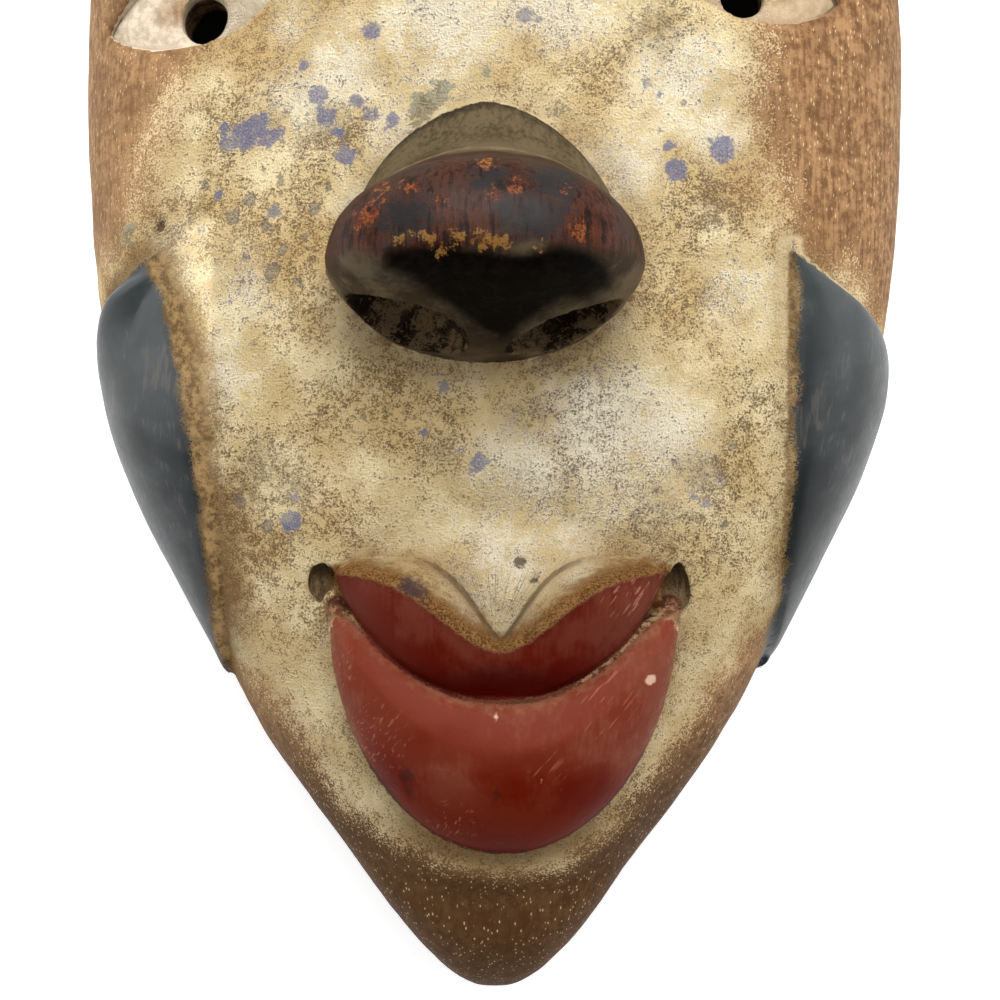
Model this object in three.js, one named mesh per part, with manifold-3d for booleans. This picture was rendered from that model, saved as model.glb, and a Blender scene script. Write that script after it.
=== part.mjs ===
// A carved wooden face mask, hollowed from behind, lying face up on its flat rim.
// Millimetres. +Z points out of the face, +Y from chin to crown, and -X is the picture's left.
// The origin is the middle of the rim plane. The whole mask is carved from one block of wood.
import * as THREE from "three";
import { mergeVertices } from "three/addons/utils/BufferGeometryUtils.js";
import Module from "manifold-3d";

// Overall block
const maskLength = 326; // chin tip to crown
const maskWidth = 188; // across the temples, at the rim
const maskDepth = 62; // rim plane to the flat of the cheeks
const sideWall = 10; // wood left at the rim
const frontWall = 14; // wood left behind the cheeks
const fullness = 3; // exponent of the cross-section: 2 is an ellipse, more is squarer
const hollowOverrun = 5; // how far the hollowing cut runs out below the rim

// Half outline from chin to crown: [share of the length, share of the half width]
const outlineShape = [
  [0, 0],
  [0.022, 0.132],
  [0.1, 0.35],
  [0.19, 0.578],
  [0.28, 0.732],
  [0.375, 0.885],
  [0.47, 0.965],
  [0.6, 1],
  [0.72, 0.975],
  [0.83, 0.87],
  [0.92, 0.65],
  [0.98, 0.335],
  [1, 0],
];
// Middle profile from chin to crown: [share of the length, share of the depth]
const profileShape = [
  [0, 0],
  [0.012, 0.5],
  [0.05, 0.75],
  [0.12, 0.885],
  [0.22, 0.968],
  [0.34, 0.995],
  [0.48, 1],
  [0.6, 0.985],
  [0.7, 1.03],
  [0.8, 1.04],
  [0.89, 0.93],
  [0.96, 0.67],
  [0.993, 0.33],
  [1, 0],
];

// Nose: its widest line, then how far it runs up to the root and down to the base
const noseLine = 0.4785; // share of the length
const noseShift = -1.5; // carved a little off the middle
const noseRise = 35;
const noseDrop = 17.5;
const noseWidth = 60;
const noseHeight = 38;
// Contours from inside the wood to the tip: [share of the height, of the rise, of the drop,
// of the half width, and how round the upper end is: 0.5 is an ellipse, 1 is pointed]
const noseLevels = [
  [-0.16, 1.03, 1.02, 0.9, 0.72],
  [0, 0.99, 1, 0.95, 0.72],
  [0.08, 0.86, 0.98, 0.965, 0.72],
  [0.21, 0.72, 0.94, 0.985, 0.68],
  [0.37, 0.63, 0.85, 1, 0.62],
  [0.53, 0.565, 0.7, 0.985, 0.57],
  [0.68, 0.515, 0.55, 0.93, 0.53],
  [0.82, 0.46, 0.4, 0.82, 0.5],
  [0.92, 0.37, 0.27, 0.64, 0.5],
  [0.98, 0.23, 0.12, 0.38, 0.5],
];
const noseTipUp = 1.5; // the tip's height above the widest line
const nostrilApart = 30; // between the two nostrils
const nostrilDrop = 11; // below the widest line
const nostrilLifts = { left: 13.5, right: 11.5 }; // above the cheek
// half sizes across, along the underside and into it
const nostrilSizes = { left: [12.5, 11, 9], right: [12, 8.5, 9] };
const nostrilTilt = 62; // degrees from the face to the underside of the nose
const nostrilSplay = 24; // degrees, the outer ends higher

// Mouth
const mouthLine = 0.296; // height of the mouth's corners, share of the length
const mouthShift = 1.3;
const mouthWidth = 66;
const upperLipDrop = 24.2; // corners down to the lowest point of the upper lip
const upperLipPeak = 4; // the two peaks, above the corners
const upperLipNotch = 13.4; // the notch between them, below the corners
const upperLipCrest = 14.7; // the lowest point of the crest line, below the corners
const upperLipRelief = 12;
const lipGroove = 2; // the shallow groove between the lips
const lowerLipWidth = 70.5;
const lowerLipShift = 0.8; // from the middle of the upper lip
const lowerLipCorner = 8.6; // its corners, below the mouth's corners
const lowerLipDrop = 48; // its corners down to its lowest point
const lowerLipRelief = 12;
const lipEdge = 1.5; // the step at the outer edge of a lip
const pitSize = [2.2, 4.6, 3.4]; // gouged pits beside the corners, half sizes
const pitGap = 3.4; // from the mouth's corner to the pit's middle
const pitDrop = 2.6; // below the mouth's corners

// Side pads, wrapped round the cheeks: the shares are of the length and half width
const padFoot = 0.224; // lower tip
const padTops = { left: 0.524, right: 0.497 }; // upper tips
const padFronts = { left: 0.605, right: 0.646 }; // front edges, measured out from the middle
const padSweep = 44; // degrees round the section at its widest
const padRelief = 4;
const padEdge = 1.6; // the step at its edge
const padSink = 4; // how deep its solid runs into the wood

// Eyes
const eyeLines = { left: 0.655, right: 0.667 }; // middle of each eye, share of the length
const eyeOuts = { left: 0.67, right: 0.58 }; // share of the half width
const eyeLengths = { left: 40, right: 36 };
const eyeOpening = 17;
const eyeSlant = 7; // degrees, outer corners lower
const eyeDepth = 3.2; // cut below the lid at the edge
const eyeBulge = 2.6; // the ball's rise above that cut
const eyeHoleRadius = 4.8;
const eyeHoleDrop = 2.6; // below the middle of the eye
const eyeHolesIn = { left: 2.8, right: 3.3 }; // towards the nose from the middle of the eye

// Soft carving of the face: heights are in millimetres, spreads too
const browHeight = 3.4;
const browLine = 0.7; // share of the length
const browArch = 7;
const browSpread = 5.5;
const socketDepth = 4.5;
const socketSpread = [21, 10];
const muzzleHeight = 3;
const muzzleSpread = 34;
const lipValley = 1.8;
const philtrumRise = 3;

// Facets
const faceRows = 46;
const faceColumns = 36;
const hollowRows = 24;
const hollowColumns = 18;
const noseColumns = 36;
const lipRows = 26;
const padRows = 20;
const eyeRows = 14;
const evenStrip = Array.from({ length: 9 }, (_, i) => i / 8); // across a lip, a pad or an eye
const grooveShare = 0.13; // of the lower lip's strip, taken by the groove
const lowerLipStrip = [0, 0.12, 0.14, 0.24, 0.36, 0.5, 0.64, 0.77, 0.88, 0.96, 1];
const outlineSamples = 1500;
const shortestEdge = 0.03;

const sides = { left: -1, right: 1 };
const halfWidth = maskWidth / 2;
const mix = THREE.MathUtils.lerp;
const clamp = THREE.MathUtils.clamp;
const smooth = THREE.MathUtils.smoothstep;
const bell = (distance, spread) => Math.exp(-((distance / spread) ** 2));
const alongMask = (share) => (share - 0.5) * maskLength;

// A smooth table [along, across] through the half shape, which meets both ends square on.
function smoothTable(shape, acrossSize) {
  const half = shape.map(([along, across]) =>
    new THREE.Vector3(along * maskLength, across * acrossSize, 0));
  const mirrored = half.slice(1, -1).reverse().map((p) => new THREE.Vector3(p.x, -p.y, 0));
  const curve = new THREE.CatmullRomCurve3([...half, ...mirrored], true, "centripetal");
  return Array.from({ length: outlineSamples + 1 }, (_, i) => {
    const p = curve.getPoint(i / outlineSamples / 2);
    return [p.x - maskLength / 2, Math.max(p.y, 0)];
  });
}

// The same table moved inwards by a wall.
function insetTable(table, wall) {
  const moved = table.map(([along, across], i) => {
    const before = table[Math.max(i - 1, 0)];
    const after = table[Math.min(i + 1, table.length - 1)];
    const run = [after[0] - before[0], after[1] - before[1]];
    const size = Math.hypot(...run) || 1;
    return [along + (run[1] / size) * wall, across - (run[0] / size) * wall];
  });
  const inside = moved.filter(([, across]) => across > 0);
  return inside.filter(([along], i) => i === 0 || along > inside[i - 1][0]);
}

function readTable(table, along) {
  const last = table.length - 1;
  if (along <= table[0][0] || along >= table[last][0]) return 0;
  let low = 0;
  let high = last;
  while (high - low > 1) {
    const middle = (low + high) >> 1;
    if (table[middle][0] > along) high = middle;
    else low = middle;
  }
  const [a, b] = [table[low], table[high]];
  return mix(a[1], b[1], (along - a[0]) / (b[0] - a[0]));
}

const outline = smoothTable(outlineShape, halfWidth);
const profile = smoothTable(profileShape, maskDepth);
const hollowOutline = insetTable(outline, sideWall);
const hollowProfile = insetTable(profile, frontWall);
const widthAt = (y) => readTable(outline, y);
const depthAt = (y) => readTable(profile, y);

const mouthY = alongMask(mouthLine);
const mouthMiddle = mouthY - (lowerLipCorner + lowerLipDrop) / 2;
const eyeY = (side) => alongMask(eyeLines[side]);
const eyeX = (side) => sides[side] * eyeOuts[side] * halfWidth;

// Low swells and hollows that are carved into the block before the features stand on it.
function softCarving(x, y) {
  const out = Math.abs(x);
  const browMiddle = (eyeOuts.left + eyeOuts.right) * halfWidth / 2;
  const arch = browArch * Math.cos((Math.PI * (out - browMiddle)) / (halfWidth * 0.85));
  const browEnds = smooth(out, 4, 20) * (1 - smooth(out, halfWidth * 0.84, halfWidth));
  const brow = browHeight * browEnds * bell(y - alongMask(browLine) - arch, browSpread);
  let hollow = 0;
  for (const side of Object.keys(sides)) {
    const apart = (x - eyeX(side)) / socketSpread[0];
    hollow -= socketDepth * bell(Math.hypot(apart, (y - eyeY(side)) / socketSpread[1]), 1);
  }
  const aside = x - mouthShift;
  const muzzle = muzzleHeight * bell(Math.hypot(aside, y - mouthMiddle), muzzleSpread);
  const ring = Math.hypot(aside / (lowerLipWidth / 2), (y - mouthMiddle) / (lowerLipDrop * 0.76));
  const valley = -lipValley * bell(ring - 1.12, 0.15);
  const above = y - (mouthY - upperLipNotch);
  const philtrum = philtrumRise * bell(aside, 5 + 0.35 * Math.max(above, 0)) *
    smooth(above, -9, -2) * (1 - smooth(above, 0, 26));
  return brow + hollow + muzzle + valley + philtrum;
}

const fadeAtSides = (height) => smooth(height, 0.1, 0.5);

// A point of the block's front, at a height along the mask and an angle round its section.
function blockPoint(y, angle) {
  const [s, c] = [Math.sin(angle), Math.cos(angle)];
  const reach = (Math.abs(s) ** fullness + Math.abs(c) ** fullness) ** (-1 / fullness);
  const x = widthAt(y) * reach * s;
  const high = reach * Math.max(c, 0);
  return new THREE.Vector3(x, y, depthAt(y) * high + softCarving(x, y) * fadeAtSides(high));
}

function faceHeight(x, y) {
  const across = clamp(Math.abs(x) / Math.max(widthAt(y), 1e-6), 0, 1);
  const high = (1 - across ** fullness) ** (1 / fullness);
  return depthAt(y) * high + softCarving(x, y) * fadeAtSides(high);
}

// The outward direction of the section there, without its slope along the mask.
function blockNormal(y, angle) {
  const [s, c] = [Math.sin(angle), Math.cos(angle)];
  const power = fullness - 1;
  const across = Math.sign(s) * Math.abs(s) ** power / widthAt(y);
  return new THREE.Vector3(across, 0, Math.abs(c) ** power / depthAt(y)).normalize();
}

// A closed surface through rings of points, drawn to a point at each end.
function loft(rings, first, last) {
  const count = rings[0].length;
  const points = [first, ...rings.flat(), last];
  const end = points.length - 1;
  const faces = [];
  for (let j = 0; j < count; j++) {
    const k = (j + 1) % count;
    faces.push(0, 1 + k, 1 + j);
    for (let i = 0; i < rings.length - 1; i++) {
      const [a, b] = [1 + i * count + j, 1 + i * count + k];
      faces.push(a, b, b + count, a, b + count, a + count);
    }
    const lastRing = 1 + (rings.length - 1) * count;
    faces.push(end, lastRing + j, lastRing + k);
  }
  const geometry = new THREE.BufferGeometry().setFromPoints(points);
  geometry.setIndex(faces);
  return geometry;
}

// The block or its hollow: rows from chin to crown, each an arch closed across the back.
function archedBlock(rows, columns, outlineTable, profileTable, below, carved) {
  const [start, stop] = [outlineTable[0][0], outlineTable[outlineTable.length - 1][0]];
  const rings = [];
  for (let i = 1; i < rows; i++) {
    const y = mix(start, stop, (1 - Math.cos((Math.PI * i) / rows)) / 2);
    const [width, depth] = [readTable(outlineTable, y), readTable(profileTable, y)];
    const ring = [];
    for (let j = 0; j <= columns; j++) {
      const angle = mix(-Math.PI / 2, Math.PI / 2, j / columns);
      if (carved) {
        ring.push(blockPoint(y, angle));
        continue;
      }
      const [s, c] = [Math.sin(angle), Math.cos(angle)];
      const reach = (Math.abs(s) ** fullness + Math.abs(c) ** fullness) ** (-1 / fullness);
      ring.push(new THREE.Vector3(width * reach * s, y, Math.max(depth, 1) * reach * Math.max(c, 0)));
    }
    ring[0].z = ring[columns].z = 0;
    if (below) ring.push(new THREE.Vector3(width, y, -below), new THREE.Vector3(-width, y, -below));
    rings.push(ring);
  }
  const tip = (y) => new THREE.Vector3(0, y, -below / 2);
  return loft(rings, tip(start), tip(stop));
}

// A raised or sunken patch: place(u, v, height) puts a point on the carved face.
function patch(rows, place, heightAt, floor, across = evenStrip) {
  const rings = [];
  for (let i = 1; i < rows; i++) {
    const u = (1 - Math.cos((Math.PI * i) / rows)) / 2;
    const ring = across.map((v) => place(u, v, heightAt(u, v)));
    ring.push(place(u, 1, floor), place(u, 0, floor));
    rings.push(ring);
  }
  return loft(rings, place(0, 0.5, floor / 2), place(1, 0.5, floor / 2));
}

// Rounded across a patch: 0 at both edges and 1 in the middle.
const roll = (v, power) => Math.max(Math.sin(Math.PI * v), 0) ** power;

function noseSolid() {
  const middle = alongMask(noseLine);
  const base = faceHeight(noseShift, middle);
  const rings = noseLevels.map(([height, rise, drop, width, round]) => {
    const ring = [];
    for (let j = 0; j < noseColumns; j++) {
      const turn = (2 * Math.PI * j) / noseColumns;
      const along = Math.sin(turn);
      const across = Math.cos(turn);
      const spread = along > 0 ? Math.abs(across) ** (2 * round) : Math.abs(across);
      ring.push(new THREE.Vector3(
        noseShift + Math.sign(across) * spread * width * (noseWidth / 2),
        middle + along * (along > 0 ? rise * noseRise : drop * noseDrop),
        base + height * noseHeight,
      ));
    }
    return ring;
  });
  const root = new THREE.Vector3(noseShift, middle, base + noseLevels[0][0] * noseHeight);
  const tip = new THREE.Vector3(noseShift, middle + noseTipUp, base + noseHeight);
  return loft(rings, root, tip);
}

function nostril(side) {
  const middle = alongMask(noseLine);
  return new THREE.SphereGeometry(1, 20, 14)
    .scale(...nostrilSizes[side])
    .rotateZ(THREE.MathUtils.degToRad(nostrilSplay) * sides[side])
    .rotateX(THREE.MathUtils.degToRad(nostrilTilt))
    .translate(
      noseShift + (sides[side] * nostrilApart) / 2,
      middle - nostrilDrop,
      faceHeight(noseShift, middle) + nostrilLifts[side],
    );
}

// The parting of the lips, at a share from the left corner to the right one.
const parting = (across) => mouthY - upperLipDrop * Math.max(1 - across ** 2, 0) ** 0.75;

// The upper edge of the upper lip, which has two peaks and a notch.
function upperEdge(across) {
  const out = Math.abs(across);
  const peaks = upperLipPeak * Math.max(1 - out ** 6, 0) ** 0.6;
  const notch = (upperLipNotch + upperLipPeak) * bell(out, 0.27);
  return mouthY + peaks - notch;
}

// The crest of the upper lip: above it a bevel runs up to the edge, below it the lip rolls under.
const crestLine = (across) => mouthY - upperLipCrest * bell(across, 0.47);

function upperLip() {
  const crestShare = 0.375;
  const place = (u, v, height) => {
    const across = Math.sin(Math.PI * (u - 0.5));
    const x = mouthShift + (across * mouthWidth) / 2;
    const crest = clamp(crestLine(across), parting(across), upperEdge(across));
    const y = v < crestShare
      ? mix(upperEdge(across), crest, v / crestShare)
      : mix(crest, parting(across), (v - crestShare) / (1 - crestShare));
    return new THREE.Vector3(x, y, faceHeight(x, y) + height);
  };
  const heightAt = (u, v) => {
    const across = Math.sin(Math.PI * (u - 0.5));
    const full = upperLipRelief * (1 - 0.3 * bell(across, 0.3)) * roll(u, 0.5);
    if (v < crestShare) {
      return mix(lipEdge, full, Math.sin((Math.PI / 2) * (v / crestShare)) ** 0.9);
    }
    return mix(lipEdge, full, 1 - 0.42 * ((v - crestShare) / (1 - crestShare)) ** 2);
  };
  return patch(lipRows, place, heightAt, -padSink);
}

// The lower lip starts under the upper one, so the groove between them has its floor.
function lowerLip() {
  const corner = mouthY - lowerLipCorner;
  const top = (across) => Math.min(
    parting(across * lowerLipWidth / mouthWidth),
    mix(corner, parting(across), Math.sqrt(1 - across ** 2)),
  );
  const place = (u, v, height) => {
    const across = Math.sin(Math.PI * (u - 0.5));
    const x = mouthShift + lowerLipShift + (across * lowerLipWidth) / 2;
    const low = corner - lowerLipDrop * Math.max(1 - across ** 2, 0) ** 0.52;
    const y = mix(top(across) + lipGroove, low, v);
    return new THREE.Vector3(x, y, faceHeight(x, y) + height);
  };
  const heightAt = (u, v) => {
    const ends = roll(u, 0.5);
    const slope = Math.max(1 - Math.max(v - 0.35, 0) ** 2 / 0.45, 0) ** 0.6;
    const full = v < grooveShare ? 0.42 : mix(0.6, 1, Math.min((v - grooveShare) / 0.25, 1) ** 0.7);
    return mix(lipEdge, lowerLipRelief, full * slope * ends);
  };
  return patch(lipRows, place, heightAt, -padSink, lowerLipStrip);
}

// The angle round the section where the block lies a given distance out from the middle.
function angleOut(x, y) {
  const across = clamp(x / widthAt(y), 0, 0.985);
  return Math.atan2(across, (1 - across ** fullness) ** (1 / fullness));
}

function sidePad(side) {
  const place = (u, v, height) => {
    const y = mix(alongMask(padFoot), alongMask(padTops[side]), u);
    const front = padFronts[side] * halfWidth;
    const sweep = THREE.MathUtils.degToRad(padSweep) * Math.max(1 - (2 * u - 1) ** 2, 0) ** 1.4;
    const angle = sides[side] * Math.min(angleOut(front, y) + v * sweep, 1.5);
    return blockPoint(y, angle).addScaledVector(blockNormal(y, angle), height);
  };
  const heightAt = (u, v) => mix(padEdge, padRelief, roll(u, 0.5) * roll(v, 0.6));
  return patch(padRows, place, heightAt, -padSink);
}

// The pocket of one eye, cut out of the wood in front of a ball.
function eyeCut(side) {
  const slant = THREE.MathUtils.degToRad(-eyeSlant) * sides[side];
  const place = (u, v, height) => {
    const along = (u - 0.5) * eyeLengths[side];
    const open = (eyeOpening / 2) * Math.max(1 - (2 * u - 1) ** 2, 0) ** 0.8;
    const across = mix(-open, open, v);
    const x = eyeX(side) + along * Math.cos(slant) - across * Math.sin(slant);
    const y = eyeY(side) + along * Math.sin(slant) + across * Math.cos(slant);
    return new THREE.Vector3(x, y, faceHeight(x, y) + height);
  };
  const ball = (u, v) => -eyeDepth + eyeBulge * roll(u, 0.7) * roll(v, 0.7);
  return patch(eyeRows, place, ball, noseHeight / 4);
}

const eyeHole = (side) =>
  new THREE.CylinderGeometry(eyeHoleRadius, eyeHoleRadius, maskDepth, 20)
    .rotateX(Math.PI / 2)
    .translate(eyeX(side) - sides[side] * eyeHolesIn[side], eyeY(side) - eyeHoleDrop, maskDepth);

function mouthPit(side) {
  const x = mouthShift + sides[side] * (mouthWidth / 2 + pitGap);
  const y = mouthY - pitDrop;
  return new THREE.SphereGeometry(1, 12, 8).scale(...pitSize).translate(x, y, faceHeight(x, y));
}

const wasm = await Module();
wasm.setup();

function solid(geometry) {
  const bare = geometry.clone();
  for (const name of Object.keys(bare.attributes)) {
    if (name !== "position") bare.deleteAttribute(name);
  }
  const merged = mergeVertices(bare, 1e-4);
  const index = Array.from(merged.index.array);
  const triangles = [];
  for (let i = 0; i < index.length; i += 3) {
    const [a, b, c] = index.slice(i, i + 3);
    if (a !== b && b !== c && c !== a) triangles.push(a, b, c);
  }
  const build = (corners) => new wasm.Manifold(new wasm.Mesh({
    numProp: 3,
    vertProperties: merged.attributes.position.array,
    triVerts: new Uint32Array(corners),
  }));
  const made = build(triangles);
  return made.volume() > 0 ? made : build(triangles.reverse());
}

// The mesh of a body, with the shortest edges that cutting leaves closed up.
function geometryOf(body) {
  const { vertProperties, triVerts } = body.getMesh();
  const points = Array.from({ length: vertProperties.length / 3 }, (_, i) =>
    new THREE.Vector3().fromArray(vertProperties, 3 * i));
  const joined = points.map((_, i) => i);
  const find = (i) => {
    while (joined[i] !== i) i = joined[i];
    return i;
  };
  for (let i = 0; i < triVerts.length; i++) {
    const next = i % 3 === 2 ? i - 2 : i + 1;
    const [a, b] = [find(triVerts[i]), find(triVerts[next])];
    if (a !== b && points[a].distanceTo(points[b]) < shortestEdge) joined[b] = a;
  }
  const triangles = [];
  for (let i = 0; i < triVerts.length; i += 3) {
    const [a, b, c] = [find(triVerts[i]), find(triVerts[i + 1]), find(triVerts[i + 2])];
    if (a !== b && b !== c && c !== a) triangles.push(a, b, c);
  }
  const geometry = new THREE.BufferGeometry().setFromPoints(points);
  geometry.setIndex(triangles);
  geometry.computeVertexNormals();
  return geometry;
}

function carvedMask() {
  const names = Object.keys(sides);
  let body = solid(archedBlock(faceRows, faceColumns, outline, profile, 0, true));
  for (const raised of [noseSolid(), upperLip(), lowerLip(), ...names.map(sidePad)]) {
    body = body.add(solid(raised));
  }
  const hollow = archedBlock(
    hollowRows, hollowColumns, hollowOutline, hollowProfile, hollowOverrun, false);
  const cuts = names.flatMap((side) =>
    [eyeCut(side), eyeHole(side), nostril(side), mouthPit(side)]);
  for (const cut of [hollow, ...cuts]) {
    body = body.subtract(solid(cut));
  }
  return body;
}

const paintedWood = new THREE.MeshStandardMaterial({ color: 0xc9b184, roughness: 0.75, metalness: 0 });
const mask = new THREE.Mesh(geometryOf(carvedMask()), paintedWood);
mask.name = "mask";

const part = new THREE.Group();
part.add(mask);
export default part;
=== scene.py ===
import itertools
import math

import bmesh
import bpy
import numpy as np
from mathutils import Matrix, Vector


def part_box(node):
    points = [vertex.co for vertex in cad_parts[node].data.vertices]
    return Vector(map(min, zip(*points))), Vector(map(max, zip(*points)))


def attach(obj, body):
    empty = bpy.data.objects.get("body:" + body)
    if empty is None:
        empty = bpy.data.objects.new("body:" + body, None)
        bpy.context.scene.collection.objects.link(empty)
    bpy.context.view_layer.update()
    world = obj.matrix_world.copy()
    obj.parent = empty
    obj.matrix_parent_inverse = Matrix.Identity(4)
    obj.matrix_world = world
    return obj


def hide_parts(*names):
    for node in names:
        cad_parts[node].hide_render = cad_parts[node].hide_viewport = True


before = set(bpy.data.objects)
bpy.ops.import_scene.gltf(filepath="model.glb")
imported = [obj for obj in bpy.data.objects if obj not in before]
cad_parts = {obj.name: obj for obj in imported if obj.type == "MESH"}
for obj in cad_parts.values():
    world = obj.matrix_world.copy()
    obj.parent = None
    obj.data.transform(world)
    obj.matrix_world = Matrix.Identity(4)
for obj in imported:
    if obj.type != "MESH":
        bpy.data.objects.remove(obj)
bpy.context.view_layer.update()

# Sizes are in millimetres, as in the solid, and become metres when the mesh is made.
mask_length = 326
mask_width = 188
mask_depth = 62
side_wall = 10
front_wall = 14
fullness = 3
hollow_overrun = 5

outline_shape = [
    (0, 0), (.022, .132), (.1, .35), (.19, .578), (.28, .732), (.375, .885), (.47, .965),
    (.6, 1), (.72, .975), (.83, .87), (.92, .65), (.98, .335), (1, 0)]
profile_shape = [
    (0, 0), (.012, .5), (.05, .75), (.12, .885), (.22, .968), (.34, .995), (.48, 1), (.6, .985),
    (.7, 1.03), (.8, 1.04), (.89, .93), (.96, .67), (.993, .33), (1, 0)]

nose_line = .4785
nose_shift = -1.5
nose_rise = 35
nose_drop = 17.5
nose_width = 60
nose_height = 38
nose_tip_up = 1.5
# height, rise, drop, width, roundness of the upper half
nose_levels = [
    (-.16, 1.03, 1.02, .9, .58), (0, .99, 1, .95, .58), (.08, .86, .98, .965, .6),
    (.21, .72, .94, .985, .62), (.37, .63, .85, 1, .6), (.53, .565, .7, .985, .57),
    (.68, .515, .55, .93, .53), (.82, .46, .4, .82, .5), (.92, .37, .27, .64, .5),
    (.98, .23, .12, .38, .5)]
nostril_apart = 30
nostril_drop = 11
nostril_lifts = {-1: 13.5, 1: 11.5}
nostril_sizes = {-1: (12.5, 11, 9), 1: (12, 8.5, 9)}
nostril_tilt = 62
nostril_splay = 24

mouth_line = .296
mouth_shift = 1.3
mouth_width = 66
upper_lip_drop = 24.2
upper_lip_peak = 4
upper_lip_notch = 13.4
upper_lip_crest = 14.7
upper_lip_relief = 12
lip_groove = 1.6
lower_lip_width = 70.5
lower_lip_shift = .8
lower_lip_corner = 8.6
lower_lip_drop = 48
lower_lip_relief = 12
lip_edge = 1.5
groove_share = .07
crest_share = .375
pit_size = (2.2, 4.6, 3.4)
pit_gap = 3.4
pit_drop = 2.6
gouged_reach = 5.2

pad_foot = .224
pad_tops = {-1: .524, 1: .497}
pad_fronts = {-1: .605, 1: .646}
pad_sweep = 44
pad_relief = 4
pad_edge = 1.6
pad_sink = 4

eye_lines = {-1: .655, 1: .667}
eye_outs = {-1: .67, 1: .58}
eye_lengths = {-1: 40, 1: 36}
eye_opening = 17
eye_slant = 7
eye_depth = 3.2
eye_bulge = 2.6
eye_hole_radius = 4.8
eye_hole_drop = 2.6
eye_holes_in = {-1: 2.8, 1: 3.3}
bore_floor, bore_top = 31, 93

brow_height = 3.4
brow_line = .7
brow_arch = 7
brow_spread = 5.5
socket_depth = 4.5
socket_spread = (21, 10)
muzzle_height = 3
muzzle_spread = 34
lip_valley = 1.8
philtrum_rise = 3

# Fineness of the mesh: rows run along the mask, columns across it.
face_rows, face_columns = 270, 190
hollow_rows, hollow_columns = 70, 60
nose_rows, nose_columns = 52, 120
lip_rows, lip_columns = 120, 38
pad_rows, pad_columns = 130, 30
eye_rows, eye_columns = 70, 26
weld_gap = .18
sliver = .02

sides = (-1, 1)
half_width = mask_width / 2


def mix(a, b, share):
    return a + (b - a) * share


def smooth(value, low, high):
    part = np.clip((np.asarray(value, float) - low) / (high - low), 0, 1)
    return part * part * (3 - 2 * part)


def bell(distance, spread):
    return np.exp(-(distance / spread) ** 2)


def along_mask(share):
    return (share - .5) * mask_length


def roll(share, power):
    """Rounded across a strip: 0 at both edges and 1 in the middle."""
    return np.maximum(np.sin(np.pi * share), 0) ** power


def smooth_table(shape, across_size):
    """Points (along, across) on a smooth line through half a shape, square on at both ends."""
    half = [(along * mask_length, across * across_size) for along, across in shape]
    ring = np.array(half + [(along, -across) for along, across in half[-2:0:-1]], float)
    count = len(ring)
    places = np.linspace(0, count / 2, 1501)
    start = np.minimum(places.astype(int), count // 2 - 1)
    part = (places - start)[:, None]
    p0, p1, p2, p3 = (ring[(start + step) % count] for step in (-1, 0, 1, 2))
    gaps = [np.sqrt(np.linalg.norm(b - a, axis=1))[:, None] for a, b in ((p0, p1), (p1, p2), (p2, p3))]
    before, here, after = gaps
    lean = ((p1 - p0) / before - (p2 - p0) / (before + here) + (p2 - p1) / here) * here
    leave = ((p2 - p1) / here - (p3 - p1) / (here + after) + (p3 - p2) / after) * here
    line = (p1 + lean * part + (3 * (p2 - p1) - 2 * lean - leave) * part ** 2
            + (2 * (p1 - p2) + lean + leave) * part ** 3)
    line[:, 0] -= mask_length / 2
    line[:, 1] = np.maximum(line[:, 1], 0)
    return rising(line)


def rising(line):
    high = np.maximum.accumulate(line[:, 0])
    keep = np.r_[True, line[1:, 0] > high[:-1]]
    return line[keep]


def inset_table(table, wall):
    """The same line moved inwards by a wall."""
    before = np.vstack([table[:1], table[:-1]])
    after = np.vstack([table[1:], table[-1:]])
    run = after - before
    run /= np.linalg.norm(run, axis=1)[:, None]
    moved = np.stack([table[:, 0] + run[:, 1] * wall, table[:, 1] - run[:, 0] * wall], 1)
    return rising(moved[moved[:, 1] > 0])


def read_table(table, along):
    return np.interp(along, table[:, 0], table[:, 1], left=0, right=0)


outline = smooth_table(outline_shape, half_width)
profile = smooth_table(profile_shape, mask_depth)
hollow_outline = inset_table(outline, side_wall)
hollow_profile = inset_table(profile, front_wall)

mouth_y = along_mask(mouth_line)
mouth_middle = mouth_y - (lower_lip_corner + lower_lip_drop) / 2
nose_y = along_mask(nose_line)
eye_y = {side: along_mask(eye_lines[side]) for side in sides}
eye_x = {side: side * eye_outs[side] * half_width for side in sides}


def soft_carving(x, y):
    """Low swells and hollows that are carved before the features stand on the block."""
    out = np.abs(x)
    brow_middle = (eye_outs[-1] + eye_outs[1]) * half_width / 2
    arch = brow_arch * np.cos(np.pi * (out - brow_middle) / (half_width * .85))
    brow_ends = smooth(out, 4, 20) * (1 - smooth(out, half_width * .84, half_width))
    height = brow_height * brow_ends * bell(y - along_mask(brow_line) - arch, brow_spread)
    for side in sides:
        apart = np.hypot((x - eye_x[side]) / socket_spread[0], (y - eye_y[side]) / socket_spread[1])
        height = height - socket_depth * bell(apart, 1)
    aside = x - mouth_shift
    height = height + muzzle_height * bell(np.hypot(aside, y - mouth_middle), muzzle_spread)
    ring = np.hypot(aside / (lower_lip_width / 2), (y - mouth_middle) / (lower_lip_drop * .76))
    height = height - lip_valley * bell(ring - 1.12, .15)
    above = y - (mouth_y - upper_lip_notch)
    philtrum = bell(aside, 5 + .35 * np.maximum(above, 0))
    return height + philtrum_rise * philtrum * smooth(above, -9, -2) * (1 - smooth(above, 0, 26))


def fade_at_sides(high):
    return smooth(high, .1, .5)


def arch_reach(angle):
    return (np.abs(np.sin(angle)) ** fullness + np.abs(np.cos(angle)) ** fullness) ** (-1 / fullness)


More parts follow.
